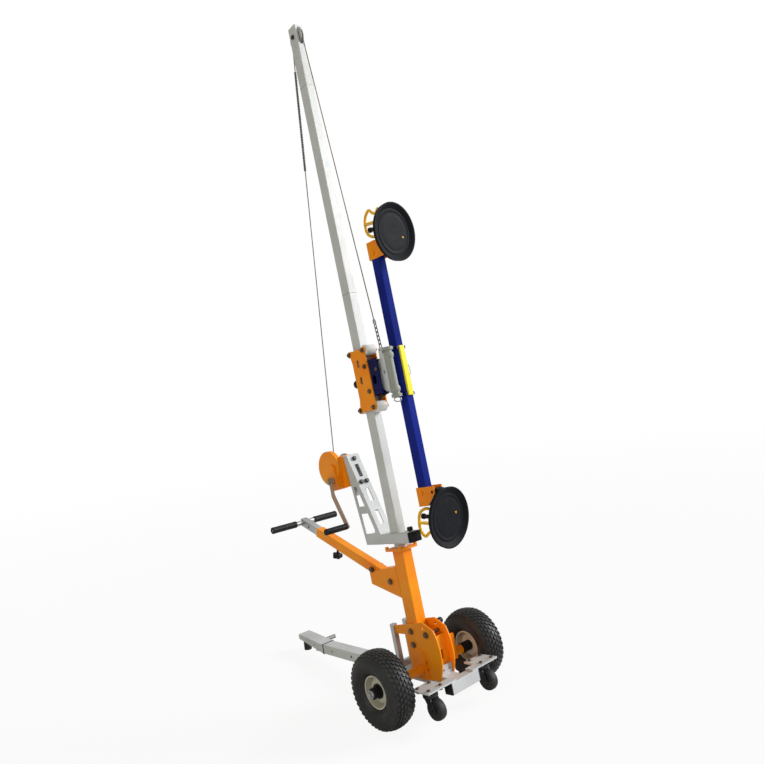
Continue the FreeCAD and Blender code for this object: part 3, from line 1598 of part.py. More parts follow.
def suction_pad(sign):
    pad = turned(pad_profile())
    pad.rotate(Vector(0, 0, 0), Vector(0, 0, 1), -quarter_turn)
    axis = cup_axis_height(sign)
    pivot = cup_pivot_height(sign)
    pad = moved(pad, 0, pad_face, axis)
    half = cup_ear_width / 2
    low, high = sorted((axis, pivot - sign * cup_ear_radius))
    spine = box(-half, half, pad_back - overrun, pad_back + spine_depth, low, high)
    ear = cross_rod(-half, half, cup_pivot_y, pivot, cup_ear_radius)
    neck = box(-half, half, pad_back, cup_pivot_y, pivot - cup_ear_radius, pivot + cup_ear_radius)
    reach = bar_size / 2 + seat_gap + cup_bracket_wall
    trunnion = cross_rod(-reach, reach, cup_pivot_y, pivot, cup_pin_radius)
    block = pump_block(sign)
    hollow = moved(turned_pad_hollow(), 0, pad_face, axis)
    block = block.cut(hollow)
    body = pad.fuse([spine, ear, neck, trunnion, block]).removeSplitter()
    block_rear = pad_back + pump_block_depth
    bore = rod(Vector(0, block_rear - plunger_bore_depth, plunger_height(sign)),
               Vector(0, block_rear + overrun, plunger_height(sign)), plunger_radius + running_gap)
    return nodded(body.cut(bore), sign)


# The room in front of the pad's mid-thickness, which the pump block must not fill
def turned_pad_hollow():
    room = rod(Vector(0, -pad_dish_depth - overrun, 0), Vector(0, pad_lip_thickness, 0), pad_radius + overrun)
    return room


# A round rod bent to a grip with a wavy free end, and a flat web across it
def pump_handle(sign):
    start = handle_start(sign)
    block_rear = pad_back + pump_block_depth
    rear = handle_rear(sign) - pump_rod_radius
    places = []
    for depth_share, height_share in pump_path_shares:
        z = start + sign * pump_handle_length * height_share
        places.append(Vector(0, block_rear + (rear - block_rear) * depth_share, z))
    path = Part.BSplineCurve()
    path.interpolate(Points=places, InitialTangent=Vector(0, 1, 0), FinalTangent=places[-1] - places[-2])
    grip = rope_tube([path.toShape()], pump_rod_radius)
    grip = grip.fuse(Part.makeSphere(pump_rod_radius, places[-1]))
    half = pump_web_width / 2
    far = start + sign * pump_handle_length * pump_web_share
    low, high = sorted((far, far - sign * pump_web_thickness))
    web = box(-half, half, block_rear, rear, low, high)
    return nodded(grip.fuse(web).removeSplitter(), sign)


def pump_plunger(sign):
    height = plunger_height(sign)
    block_rear = pad_back + pump_block_depth
    start = block_rear - plunger_bore_depth + plunger_travel + seat_gap
    end = handle_rear(sign) - 2 * pump_rod_radius - plunger_handle_gap
    stem = rod(Vector(0, start, height), Vector(0, end, height), plunger_radius)
    cap = rod(Vector(0, end - plunger_cap_length, height), Vector(0, end, height), plunger_cap_radius)
    return nodded(stem.fuse(cap).removeSplitter(), sign)


# Fasteners of the base, one group of separate solids
def post_bolt(height):
    bolt = headed_bolt(post_centre, height, post_bolt_radius, plate_outer, post_bolt_head_radius,
                       post_bolt_head_height)
    near = post_width / 2
    sleeves = [cross_rod(near, plate_inner, post_centre, height, post_sleeve_radius),
               cross_rod(-plate_inner, -near, post_centre, height, post_sleeve_radius)]
    return bolt.fuse(sleeves).removeSplitter()


def caster_bolt(x, y):
    high = beam_top + caster_plate_thickness
    shank = rod(Vector(x, y, head_low - bolt_head_height), Vector(x, y, high + bolt_head_height),
                bolt_shank_radius)
    head = rod(Vector(x, y, high), Vector(x, y, high + bolt_head_height), bolt_head_radius)
    nut = rod(Vector(x, y, head_low - bolt_head_height), Vector(x, y, head_low), bolt_head_radius)
    return shank.fuse([head, nut]).removeSplitter()


def frame_bolts():
    bolts = [post_bolt(height) for height in post_bolt_heights]
    bolts.append(headed_bolt(cross_pin_y, cross_pin_z, cross_pin_radius, plate_outer,
                             post_bolt_head_radius, post_bolt_head_height))
    grip = bracket_inner + bracket_plate_thickness
    for y, z in arm_bolt_places():
        bolts.append(headed_bolt(y, z, post_bolt_radius, grip, post_bolt_head_radius, post_bolt_head_height))
    for side in (-1, 1):
        bolts.append(lynch_pin(side))
        bolts += [caster_bolt(x, y) for x, y in caster_bolt_places(side)]
    return group(bolts)


def pieces():
    wheel = {"tyre": on_right_wheel(tyre()), "rim": on_right_wheel(rim()), "hub": on_right_wheel(hub())}
    swivel = {"caster_fork": caster_fork(), "caster_wheel": caster_wheel()}
    upright = {
        "right_side_plate": side_plate([axle_gusset()]),
        "left_side_plate": mirrored(side_plate([])),
        "front_web": front_web(),
        "cross_beam": cross_beam(),
        "axle_tube": axle_tube(),
        "axle_shaft": axle_shaft(),
        "leg_brace": leg_brace(),
        "frame_bolts": frame_bolts(),
        "post": post(),
        "handle_arm": handle_arm(),
        "rear_leg": rear_leg(),
        "caster_heads": group([moved(caster_head(), side * caster_x, 0, 0) for side in (-1, 1)]
                              + [beam_cap(side) for side in (-1, 1)]),
        "leg_toe": leg_toe(),
        "leg_pull_bar": leg_pull_bar(),
        "handle_slider": handle_slider(),
        "handle_grips": group([handle_grip(-1), handle_grip(1)]),
        "clamp_knob": clamp_knob(),
        "winch_bracket": winch_bracket(),
        "arm_cap": arm_cap(),
        "mast_lower": mast_section(arm_high, mast_joints[0], True),
        "mast_middle": mast_section(mast_joints[0], mast_joints[1], True),
        "mast_upper": mast_upper(),
        "pulley_pin": pulley_pin(),
        "head_pulley": head_pulley(),
        "winch_frame": winch_frame(),
        "winch_cover": winch_cover(),
        "winch_drum": winch_drum(),
        "crank": crank(),
        "crank_grip": crank_grip(),
        "hoist_rope": hoist_rope(),
        "lift_rope": lift_rope(),
        "carriage_plates": group([carriage_plate(-carriage_outer, -carriage_inner), carriage_strap(),
                                  carriage_plate(carriage_inner, carriage_outer)]),
        "carriage_bolts": carriage_bolts(),
        "tilt_bracket": tilt_bracket(),
        "rear_knob": rear_knob(),
        "upper_front_roller": roller(front_roller_radius, front_axle, roller_heights[0]),
        "lower_front_roller": roller(front_roller_radius, front_axle, roller_heights[1]),
        "upper_rear_roller": roller(rear_roller_radius, rear_axle, roller_heights[0]),
        "lower_rear_roller": roller(rear_roller_radius, rear_axle, roller_heights[1]),
        "tilt_head": tilt_head(),
        "lift_bar": lift_bar(),
        "bar_clamp": bar_clamp(),
        "cup_brackets": group([cup_bracket(1), cup_bracket(-1)]),
    }
    for name, shape in wheel.items():
        upright["right_" + name] = shape
        upright["left_" + name] = mirrored(shape)
    for name, shape in swivel.items():
        upright["right_" + name] = moved(shape, caster_x, 0, 0)
        upright["left_" + name] = moved(shape, -caster_x, 0, 0)
    for name, sign in (("upper_", 1), ("lower_", -1)):
        upright[name + "pad"] = suction_pad(sign)
        upright[name + "handle"] = pump_handle(sign)
        upright[name + "plunger"] = pump_plunger(sign)
    finished = {name: leaned(shape) for name, shape in upright.items()}
    finished["rear_foot"] = rear_foot()
    return finished


def main():
    os.makedirs("parts", exist_ok=True)
    for name, shape in pieces().items():
        shape.exportStep("parts/" + name + ".step")
    print("lean back", round(lean, 2), "degrees")


main()
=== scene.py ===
import json
import math
import bmesh
import bpy
from mathutils import Matrix, Vector


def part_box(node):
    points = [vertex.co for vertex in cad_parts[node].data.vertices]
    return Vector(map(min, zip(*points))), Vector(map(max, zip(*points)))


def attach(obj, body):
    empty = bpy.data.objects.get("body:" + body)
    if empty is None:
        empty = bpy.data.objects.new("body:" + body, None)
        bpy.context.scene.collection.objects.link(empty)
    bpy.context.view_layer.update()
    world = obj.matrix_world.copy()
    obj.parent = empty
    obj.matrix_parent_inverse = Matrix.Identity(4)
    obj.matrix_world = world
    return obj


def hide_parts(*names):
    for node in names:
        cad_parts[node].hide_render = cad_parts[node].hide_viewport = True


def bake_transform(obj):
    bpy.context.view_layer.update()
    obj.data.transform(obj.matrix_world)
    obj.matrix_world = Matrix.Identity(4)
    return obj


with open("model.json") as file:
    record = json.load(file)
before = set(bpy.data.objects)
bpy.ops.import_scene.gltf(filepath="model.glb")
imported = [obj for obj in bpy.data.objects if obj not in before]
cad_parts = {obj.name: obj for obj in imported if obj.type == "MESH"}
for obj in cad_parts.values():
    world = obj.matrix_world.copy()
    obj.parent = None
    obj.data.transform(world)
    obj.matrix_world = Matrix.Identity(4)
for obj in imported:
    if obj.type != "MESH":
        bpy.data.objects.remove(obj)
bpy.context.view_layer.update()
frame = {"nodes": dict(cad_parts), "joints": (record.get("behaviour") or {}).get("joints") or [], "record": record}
scene = bpy.context.scene
joints = {joint["name"]: joint for joint in frame["joints"]}
mounts = {mount["name"]: mount for mount in frame["record"]["mounts"]}
slotOf = {part["node"]: part["material_slot"] for part in frame["record"]["subparts"]}
fullTurn = 2 * math.pi
print("frame loaded:", len(frame["nodes"]), "nodes")

# The solids are drawn upright and then lean back about the axle, so places given to upright() are upright ones
stance = {"axleHeight": 0.140, "footReach": 0.872, "footDrop": 0.022}
footDistance = math.hypot(stance["footReach"], stance["footDrop"])
leanAngle = math.asin(stance["axleHeight"] / footDistance) - math.atan2(stance["footDrop"], stance["footReach"])
axlePoint = Vector((0, 0, stance["axleHeight"]))
leanBack = Matrix.Translation(axlePoint) @ Matrix.Rotation(-leanAngle, 4, "X") @ Matrix.Translation(-axlePoint)
leanTurn = leanBack.to_3x3()
upAxis = (leanTurn @ Vector((0, 0, 1))).normalized()
rearAxis = (leanTurn @ Vector((0, 1, 0))).normalized()


def upright(x, y, z):
    return leanBack @ Vector((x, y, z))


def jointPlace(name):
    return Vector(joints[name]["pos_m"])


def jointAxis(name):
    return Vector(joints[name]["axis"]).normalized()


def srgb(red, green, blue):
    def linear(value):
        share = value / 255
        return share / 12.92 if share <= 0.04045 else ((share + 0.055) / 1.055) ** 2.4
    return (linear(red), linear(green), linear(blue), 1)


# Camera at the photograph's place
cameraView = {
    "lens": 31.5316,
    "sensor": 36,
    "place": (-1.70293, -1.91296, 1.25077),
    "right": (0.756028, -0.644251, -0.115592),
    "up": (0.091274, -0.071106, 0.993284),
    "back": (-0.648144, -0.761501, 0.005045),
}
cameraData = bpy.data.cameras.new("photoCamera")
cameraData.lens = cameraView["lens"]
cameraData.sensor_width = cameraView["sensor"]
camera = bpy.data.objects.new("photoCamera", cameraData)
turn = Matrix((cameraView["right"], cameraView["up"], cameraView["back"])).transposed()
camera.matrix_world = Matrix.Translation(cameraView["place"]) @ turn.to_4x4()
scene.collection.objects.link(camera)
scene.camera = camera
scene.view_settings.view_transform = "Standard"
print("camera set")


# Node helpers: an input is linked where it gets a socket, and set where it gets a value
def feed(tree, socket, value):
    if isinstance(value, bpy.types.NodeSocket):
        tree.links.new(value, socket)
    else:
        socket.default_value = value


def addNode(tree, kind, fed=None, **settings):
    node = tree.nodes.new(kind)
    for key, value in settings.items():
        setattr(node, key, value)
    for label, value in (fed or {}).items():
        feed(tree, node.inputs[label], value)
    return node


def mathNode(tree, operation, *values):
    return addNode(tree, "ShaderNodeMath", dict(enumerate(values)), operation=operation).outputs[0]


def vectorNode(tree, operation, *values):
    return addNode(tree, "ShaderNodeVectorMath", dict(enumerate(values)), operation=operation).outputs


def objectPlace(tree):
    return addNode(tree, "ShaderNodeTexCoord").outputs["Object"]


def noiseNode(tree, place, scale, detail, roughness=0.5):
    return addNode(tree, "ShaderNodeTexNoise", {
        "Vector": place, "Scale": scale, "Detail": detail, "Roughness": roughness}).outputs["Fac"]


def rangeNode(tree, value, low, high, toLow=0, toHigh=1):
    return addNode(tree, "ShaderNodeMapRange", {
        "Value": value, "From Min": low, "From Max": high, "To Min": toLow, "To Max": toHigh}).outputs["Result"]


# A Mix node has its colours at inputs 6 and 7 and at output 2
def mixColour(tree, share, first, second):
    return addNode(tree, "ShaderNodeMix", {"Factor": share, 6: first, 7: second}, data_type="RGBA").outputs[2]


def groupTree(name, kind, inputs, outputs):
    tree = bpy.data.node_groups.new(name, kind)
    for way, sockets in (("INPUT", inputs), ("OUTPUT", outputs)):
        for label, socket in sockets.items():
            tree.interface.new_socket(label, in_out=way, socket_type="NodeSocket" + socket)
    return tree, addNode(tree, "NodeGroupInput").outputs, addNode(tree, "NodeGroupOutput").inputs


# Texture and wear that the finishes share
wear = {"driftScale": 6, "driftDetail": 5, "driftRange": (0.35, 0.68),
        "dustScale": 9, "dustDetail": 8, "dustRoughness": 0.7, "dustRange": (0.5, 0.85), "dust": srgb(176, 168, 154),
        "grainDetail": 4, "grainRange": (0.3, 0.7), "grainDepth": 0.0006,
        "chipScale": 90, "chipDetail": 6, "chipRoughness": 0.65, "chipStart": 0.8, "chipEdge": 18, "specular": 0.3}


# Slow change of colour over a surface, with a faint film of dust in it
def makeColourDrift():
    tree, given, result = groupTree("colourDrift", "ShaderNodeTree", {
        "Place": "Vector", "Main": "Color", "Other": "Color", "Scale": "Float", "Dust": "Float"}, {"Colour": "Color"})
    broad = noiseNode(tree, given["Place"], given["Scale"], wear["driftDetail"])
    fineScale = mathNode(tree, "MULTIPLY", given["Scale"], wear["dustScale"])
    fine = noiseNode(tree, given["Place"], fineScale, wear["dustDetail"], wear["dustRoughness"])
    clean = mixColour(tree, rangeNode(tree, broad, *wear["driftRange"]), given["Main"], given["Other"])
    film = mathNode(tree, "MULTIPLY", rangeNode(tree, fine, *wear["dustRange"]), given["Dust"])
    feed(tree, result["Colour"], mixColour(tree, film, clean, wear["dust"]))
    return tree


# Fine texture of a surface: a height for its bump and a gloss that changes with it
def makeSurfaceGrain():
    tree, given, result = groupTree("surfaceGrain", "ShaderNodeTree", {
        "Place": "Vector", "Scale": "Float", "Stretch": "Vector", "Gloss Low": "Float", "Gloss High": "Float"},
        {"Height": "Float", "Roughness": "Float"})
    place = vectorNode(tree, "MULTIPLY", given["Place"], given["Stretch"])[0]
    height = noiseNode(tree, place, given["Scale"], wear["grainDetail"])
    feed(tree, result["Height"], height)
    feed(tree, result["Roughness"],
         rangeNode(tree, height, *wear["grainRange"], given["Gloss Low"], given["Gloss High"]))
    return tree


# Small chips and scratches in paint, as a mask
def makePaintChips():
    tree, given, result = groupTree("paintChips", "ShaderNodeTree", {
        "Place": "Vector", "Scale": "Float", "Amount": "Float"}, {"Mask": "Float"})
    spots = noiseNode(tree, given["Place"], given["Scale"], wear["chipDetail"], wear["chipRoughness"])
    start = mathNode(tree, "SUBTRACT", wear["chipStart"], given["Amount"])
    edge = mathNode(tree, "MULTIPLY", mathNode(tree, "SUBTRACT", spots, start), wear["chipEdge"])
    feed(tree, result["Mask"], mathNode(tree, "MINIMUM", mathNode(tree, "MAXIMUM", edge, 0), 1))
    return tree


colourDrift = makeColourDrift()
surfaceGrain = makeSurfaceGrain()
paintChips = makePaintChips()

# The finishes of the record's slots, and a few more for single pieces: colours, gloss range, grain and wear
finishes = {
    "orange_paint": {"main": srgb(255, 158, 16), "other": srgb(252, 138, 16), "dust": 0.05, "gloss": (0.30, 0.44),
                     "grain": 420, "bump": 0.05, "chips": 0.10, "under": srgb(120, 70, 40), "coat": 0.06,
                     "specular": 0.18},
    "grey_paint": {"main": srgb(208, 210, 211), "other": srgb(190, 192, 192), "dust": 0.12, "gloss": (0.38, 0.55),
                   "grain": 380, "bump": 0.05, "chips": 0.09, "under": srgb(120, 118, 112), "coat": 0.1},
    "mast_metal": {"main": srgb(207, 208, 206), "other": srgb(198, 199, 196), "dust": 0.05, "gloss": (0.44, 0.58),
                   "grain": 260, "stretch": (1, 1, 0.02), "bump": 0.06, "metallic": 0.2, "specular": 0.1},
    "zinc_steel": {"main": srgb(196, 198, 200), "other": srgb(168, 168, 164), "dust": 0.08, "gloss": (0.26, 0.42),
                   "grain": 500, "bump": 0.05, "metallic": 0.8},
    "bolt_zinc": {"main": srgb(126, 108, 88), "other": srgb(98, 82, 66), "dust": 0.1, "gloss": (0.3, 0.46),
                  "grain": 500, "bump": 0.05, "metallic": 0.7},
    "sleeve_grey": {"main": srgb(122, 122, 120), "other": srgb(92, 92, 90), "dust": 0.08, "gloss": (0.5, 0.65),
                    "grain": 700, "bump": 0.1, "specular": 0.2},
    "link_steel": {"main": srgb(142, 142, 140), "other": srgb(108, 108, 106), "dust": 0.08, "gloss": (0.3, 0.46),
                   "grain": 500, "bump": 0.05, "metallic": 0.6},
    "nut_brass": {"main": srgb(188, 168, 122), "other": srgb(160, 140, 96), "dust": 0.08, "gloss": (0.28, 0.42),
                  "grain": 500, "bump": 0.05, "metallic": 0.6},
    "crank_steel": {"main": srgb(186, 154, 132), "other": srgb(166, 134, 114), "dust": 0.1, "gloss": (0.34, 0.5),
                    "grain": 420, "bump": 0.06, "metallic": 0.15},
    "cast_grey": {"main": srgb(222, 225, 226), "other": srgb(204, 207, 208), "dust": 0.08, "gloss": (0.42, 0.6),
                  "grain": 320, "bump": 0.12, "chips": 0.08, "under": srgb(96, 96, 96)},
    "rim_paint": {"main": srgb(212, 208, 194), "other": srgb(190, 184, 168), "dust": 0.2, "gloss": (0.4, 0.55),
                  "grain": 360, "bump": 0.06, "chips": 0.1, "under": srgb(110, 100, 88)},
    "tyre_rubber": {"main": srgb(30, 30, 31), "other": srgb(41, 41, 41), "dust": 0.08, "gloss": (0.38, 0.58),
                    "grain": 700, "bump": 0.12, "specular": 0.34},
    "black_plastic": {"main": srgb(18, 18, 20), "other": srgb(26, 26, 28), "dust": 0.04, "gloss": (0.36, 0.55),
                      "grain": 900, "bump": 0.1, "specular": 0.22},
    "black_steel": {"main": srgb(24, 24, 26), "other": srgb(40, 40, 42), "dust": 0.1, "gloss": (0.3, 0.5),
                    "grain": 500, "bump": 0.06, "chips": 0.08, "under": srgb(120, 118, 114)},
    "caster_rubber": {"main": srgb(28, 28, 30), "other": srgb(42, 42, 44), "dust": 0.08, "gloss": (0.5, 0.7),
                      "grain": 700, "bump": 0.08},
    "nylon": {"main": srgb(236, 236, 232), "other": srgb(220, 219, 212), "dust": 0.08, "gloss": (0.4, 0.52),
              "grain": 500, "bump": 0.03},
    "navy_paint": {"main": srgb(16, 22, 84), "other": srgb(12, 17, 66), "dust": 0.03, "gloss": (0.28, 0.42),
                   "grain": 420, "bump": 0.05, "chips": 0.08, "under": srgb(70, 72, 92), "specular": 0.12},
    "blue_paint": {"main": srgb(33, 47, 140), "other": srgb(27, 39, 120), "dust": 0.01, "gloss": (0.45, 0.6),
                   "grain": 420, "bump": 0.05, "chips": 0.08, "under": srgb(60, 64, 96), "specular": 0.01},
    "yellow_paint": {"main": srgb(255, 203, 30), "other": srgb(250, 186, 24), "dust": 0.08, "gloss": (0.3, 0.46),
                     "grain": 420, "bump": 0.05, "chips": 0.1, "under": srgb(110, 92, 40), "coat": 0.2},
    "pad_rubber": {"main": srgb(23, 24, 28), "other": srgb(28, 29, 34), "dust": 0.03, "gloss": (0.52, 0.68),
                   "grain": 800, "bump": 0.06, "specular": 0.07},
    "rope": {"main": srgb(138, 122, 104), "other": srgb(104, 92, 80), "dust": 0.1, "gloss": (0.4, 0.6),
             "grain": 900, "bump": 0.1, "metallic": 0.4},
}


def makeFinish(name, look):
    material = bpy.data.materials.new(name)
    material.use_nodes = True
    tree = material.node_tree
    place = objectPlace(tree)
    drift = addNode(tree, "ShaderNodeGroup", {
        "Place": place, "Main": look["main"], "Other": look["other"], "Scale": wear["driftScale"],
        "Dust": look["dust"]}, node_tree=colourDrift)
    grain = addNode(tree, "ShaderNodeGroup", {
        "Place": place, "Scale": look["grain"], "Stretch": look.get("stretch", (1, 1, 1)),
        "Gloss Low": look["gloss"][0], "Gloss High": look["gloss"][1]}, node_tree=surfaceGrain)
    colour = drift.outputs["Colour"]
    if "chips" in look:
        chips = addNode(tree, "ShaderNodeGroup", {
            "Place": place, "Scale": wear["chipScale"], "Amount": look["chips"]}, node_tree=paintChips)
        colour = mixColour(tree, chips.outputs["Mask"], colour, look["under"])
    bump = addNode(tree, "ShaderNodeBump", {
        "Strength": look["bump"], "Distance": wear["grainDepth"], "Height": grain.outputs["Height"]})
    shader = tree.nodes["Principled BSDF"]
    for label, value in {
            "Base Color": colour, "Roughness": grain.outputs["Roughness"], "Normal": bump.outputs["Normal"],
            "Metallic": look.get("metallic", 0), "Coat Weight": look.get("coat", 0),
            "Specular IOR Level": look.get("specular", wear["specular"])}.items():
        feed(tree, shader.inputs[label], value)
    return material


materials = {name: makeFinish(name, look) for name, look in finishes.items()}


# Lays a second colour over a finish where a mask is one
def paintOver(tree, mask, colour):
    base = tree.nodes["Principled BSDF"].inputs["Base Color"]
    feed(tree, base, mixColour(tree, mask, base.links[0].from_socket, colour))


# The hinge post and the ears around it are darker than the half-moon plate of the tilt head
headPost = {"radius": 0.0215, "ears": 0.0235, "grey": srgb(158, 161, 152)}
panUp = jointAxis("pan")
panSide = jointAxis("upper_cup_nod")
panFront = panSide.cross(panUp)


def fromPan(tree):
    return vectorNode(tree, "SUBTRACT", objectPlace(tree), jointPlace("pan"))[0]


def nearPin(tree, radius):
    aside = vectorNode(tree, "CROSS_PRODUCT", fromPan(tree), panUp)[0]
    return mathNode(tree, "LESS_THAN", vectorNode(tree, "LENGTH", aside)["Value"], radius)


def makeHeadFinish():
    material = makeFinish("head_paint", finishes["cast_grey"])
    paintOver(material.node_tree, nearPin(material.node_tree, headPost["radius"]), headPost["grey"])
    return material


# The hinge clamp is navy with grey ears, and the plate on its front is yellow
clampPlate = {"front": 0.0161, "side": 0.058, "halfWidth": 0.0142, "yellow": srgb(252, 234, 50)}


def makeClampFinish():
    material = makeFinish("clamp_paint", finishes["navy_paint"])
    tree = material.node_tree
    ahead, aside = (vectorNode(tree, "DOT_PRODUCT", fromPan(tree), way)["Value"] for way in (panFront, panSide))
    offset = mathNode(tree, "ABSOLUTE", mathNode(tree, "SUBTRACT", aside, clampPlate["side"]))
    onPlate = mathNode(tree, "MULTIPLY", mathNode(tree, "GREATER_THAN", ahead, clampPlate["front"]),
                       mathNode(tree, "LESS_THAN", offset, clampPlate["halfWidth"]))
    paintOver(tree, onPlate, clampPlate["yellow"])
    paintOver(tree, nearPin(tree, headPost["ears"]), headPost["grey"])
    return material


# The bolts of the stand are dull, and the lynch pins at the axle's ends bright
lynchPins = {"from": 0.2, "bright": srgb(198, 199, 198)}


def makeFrameBoltFinish():
    material = makeFinish("frame_bolt_zinc", finishes["bolt_zinc"])
    tree = material.node_tree
    aside = addNode(tree, "ShaderNodeSeparateXYZ", {0: objectPlace(tree)}).outputs["X"]
    outer = mathNode(tree, "GREATER_THAN", mathNode(tree, "ABSOLUTE", aside), lynchPins["from"])
    paintOver(tree, outer, lynchPins["bright"])
    return material


# Thin dark seams where the mast sections meet
mastSeam = {"heights": (1.6252, 2.531), "halfWidth": 0.0012, "grey": srgb(150, 150, 146)}


def addMastSeams(tree):
    away = vectorNode(tree, "SUBTRACT", objectPlace(tree), axlePoint)[0]
    height = vectorNode(tree, "DOT_PRODUCT", away, upAxis)["Value"]
    for seam in mastSeam["heights"]:
        gap = mathNode(tree, "ABSOLUTE", mathNode(tree, "SUBTRACT", height, seam - axlePoint.z))
        paintOver(tree, mathNode(tree, "LESS_THAN", gap, mastSeam["halfWidth"]), mastSeam["grey"])


materials["clamp_paint"] = makeClampFinish()
materials["head_paint"] = makeHeadFinish()
materials["frame_bolt_zinc"] = makeFrameBoltFinish()
addMastSeams(materials["mast_metal"].node_tree)
ownFinish = {"frame_bolts": "frame_bolt_zinc", "carriage_bolts": "bolt_zinc", "crank": "crank_steel",
             "bar_clamp": "clamp_paint", "tilt_head": "head_paint", "leg_pull_bar": "link_steel",
             "head_pulley": "zinc_steel"}
for nodeName, node in frame["nodes"].items():
    node.data.materials.clear()
    node.data.materials.append(materials[ownFinish.get(nodeName, slotOf[nodeName])])
print("finishes made:", len(materials))


# Floor, sky and lamps
studio = {"floorSize": 40, "floorGrey": 0.85, "floorWhite": 0.90, "fadeStart": 2.5, "fadeEnd": 9.0,
          "skyLight": 0.30, "mirrorBright": (0.55, -0.8, 0.25), "mirrorRange": (0.3, 1.1)}
lamps = {"keyLamp": {"strength": 3.2, "tint": (0.97, 0.985, 1.0), "from": (0.80, -0.50, 0.42), "softness": 22},
         "fillLamp": {"strength": 0.50, "tint": (1.0, 0.95, 0.66), "from": (-0.78, -0.12, 0.6), "softness": 40}}


def makeFloor():
    half, grey = studio["floorSize"] / 2, studio["floorGrey"]
    mesh = bpy.data.meshes.new("floor")
    mesh.from_pydata([(-half, -half, 0), (half, -half, 0), (half, half, 0), (-half, half, 0)], [], [(0, 1, 2, 3)])
    floor = bpy.data.objects.new("floor", mesh)
    scene.collection.objects.link(floor)
    material = bpy.data.materials.new("paleFloor")
    material.use_nodes = True
    tree = material.node_tree
    tree.nodes.clear()
    far = vectorNode(tree, "LENGTH", objectPlace(tree))["Value"]
    fade = rangeNode(tree, far, studio["fadeStart"], studio["fadeEnd"], studio["floorWhite"])
    seen = addNode(tree, "ShaderNodeLightPath").outputs["Is Camera Ray"]
    matte = addNode(tree, "ShaderNodeBsdfDiffuse", {"Color": (grey, grey, grey, 1)})
    glow = addNode(tree, "ShaderNodeEmission")
    mix = addNode(tree, "ShaderNodeMixShader", {
        0: mathNode(tree, "MULTIPLY", fade, seen), 1: matte.outputs[0], 2: glow.outputs[0]})
    addNode(tree, "ShaderNodeOutputMaterial", {"Surface": mix.outputs[0]})
    mesh.materials.append(material)


def makeSky():
    world = bpy.data.worlds.new("studioSky")
    world.use_nodes = True
    scene.world = world
    tree = world.node_tree
    tree.nodes.clear()
    path = addNode(tree, "ShaderNodeLightPath").outputs
    way = addNode(tree, "ShaderNodeTexCoord").outputs["Generated"]
    facing = vectorNode(tree, "DOT_PRODUCT", way, Vector(studio["mirrorBright"]).normalized())["Value"]
    mirrored = rangeNode(tree, facing, -1, 1, *studio["mirrorRange"])
    strength = studio["skyLight"]
    for ray, value in (("Is Glossy Ray", mirrored), ("Is Transmission Ray", 1), ("Is Camera Ray", 1)):
        strength = addNode(tree, "ShaderNodeMix", {0: path[ray], 2: strength, 3: value},
                           data_type="FLOAT").outputs[0]
    light = addNode(tree, "ShaderNodeBackground", {"Color": (1, 1, 1, 1), "Strength": strength})
    addNode(tree, "ShaderNodeOutputWorld", {"Surface": light.outputs[0]})


def makeLamp(name, look):
    lamp = bpy.data.lights.new(name, "SUN")
    lamp.energy = look["strength"]
    lamp.color = look["tint"]
    lamp.angle = math.radians(look["softness"])
    holder = bpy.data.objects.new(name, lamp)
    holder.matrix_world = Vector(look["from"]).to_track_quat("Z", "Y").to_matrix().to_4x4()
    scene.collection.objects.link(holder)


makeFloor()
makeSky()
for lampName, lampLook in lamps.items():
    makeLamp(lampName, lampLook)
print("floor, sky and lamps set")


# Mesh helpers
sharpEdge = {"turned": 32, "lobed": 40}  # degrees
axisGap = 0.0003  # turned outlines stay this far from their axis


def newPiece(name, mesh, slot, body, replaced=(), finish=None):
    piece = bpy.data.objects.new(name, mesh)
    scene.collection.objects.link(piece)
    mesh.materials.clear()
    mesh.materials.append(materials[finish or slot])
    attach(piece, body)
    if replaced:
        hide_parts(*replaced)


def arcThrough(first, middle, last, steps):
    ax, ay, bx, by, cx, cy = *first, *middle, *last
    d = 2 * (ax * (by - cy) + bx * (cy - ay) + cx * (ay - by))
    a2, b2, c2 = ax * ax + ay * ay, bx * bx + by * by, cx * cx + cy * cy
    centre = Vector(((a2 * (by - cy) + b2 * (cy - ay) + c2 * (ay - by)) / d,
                     (a2 * (cx - bx) + b2 * (ax - cx) + c2 * (bx - ax)) / d))
    start, through, end = (Vector(point) - centre for point in (first, middle, last))
    sweep = start.angle_signed(through) + through.angle_signed(end)
    return [centre + Matrix.Rotation(-sweep * step / steps, 2) @ start for step in range(steps + 1)]


def skinRings(shape, rings, loop=True, smooth=True):
    for ring, after in zip(rings, rings[1:] + (rings[:1] if loop else [])):
        for index in range(len(ring)):
            shape.faces.new((ring[index], ring[index - 1], after[index - 1], after[index])).smooth = smooth


def meshOf(name, shape, sharpAngle=None):
    bmesh.ops.recalc_face_normals(shape, faces=shape.faces)
    mesh = bpy.data.meshes.new(name)
    shape.to_mesh(mesh)
    shape.free()
    if sharpAngle:
        mesh.set_sharp_from_angle(angle=math.radians(sharpAngle))
    return mesh


# Turns a closed outline of (along, radius) points about the X axis through a place
def turnedMesh(name, outline, place, segments):
    shape = bmesh.new()
    rings = []
    for index in range(segments):
        across = Matrix.Rotation(fullTurn * index / segments, 3, "X") @ Vector((0, 1, 0))
        rings.append([shape.verts.new(place + Vector((along, 0, 0)) + across * radius) for along, radius in outline])
    skinRings(shape, rings)
    return meshOf(name, shape, sharpEdge["turned"])


# Turns a mesh that lies along X to another way, and sets it at a place
def aimMesh(mesh, place, aim):
    mesh.transform(Matrix.Translation(place) @ Vector(aim).to_track_quat("X", "Z").to_matrix().to_4x4())
    return mesh


def turnedPiece(name, outline, place, aim, segments, slot, body):
    newPiece(name, aimMesh(turnedMesh(name, outline, Vector(), segments), place, aim), slot, body)


# An outline from shares of a length and a radius
def scaledOutline(profile, start, length, radius):
    return [(start + along * length, max(share * radius, axisGap)) for along, share in profile]


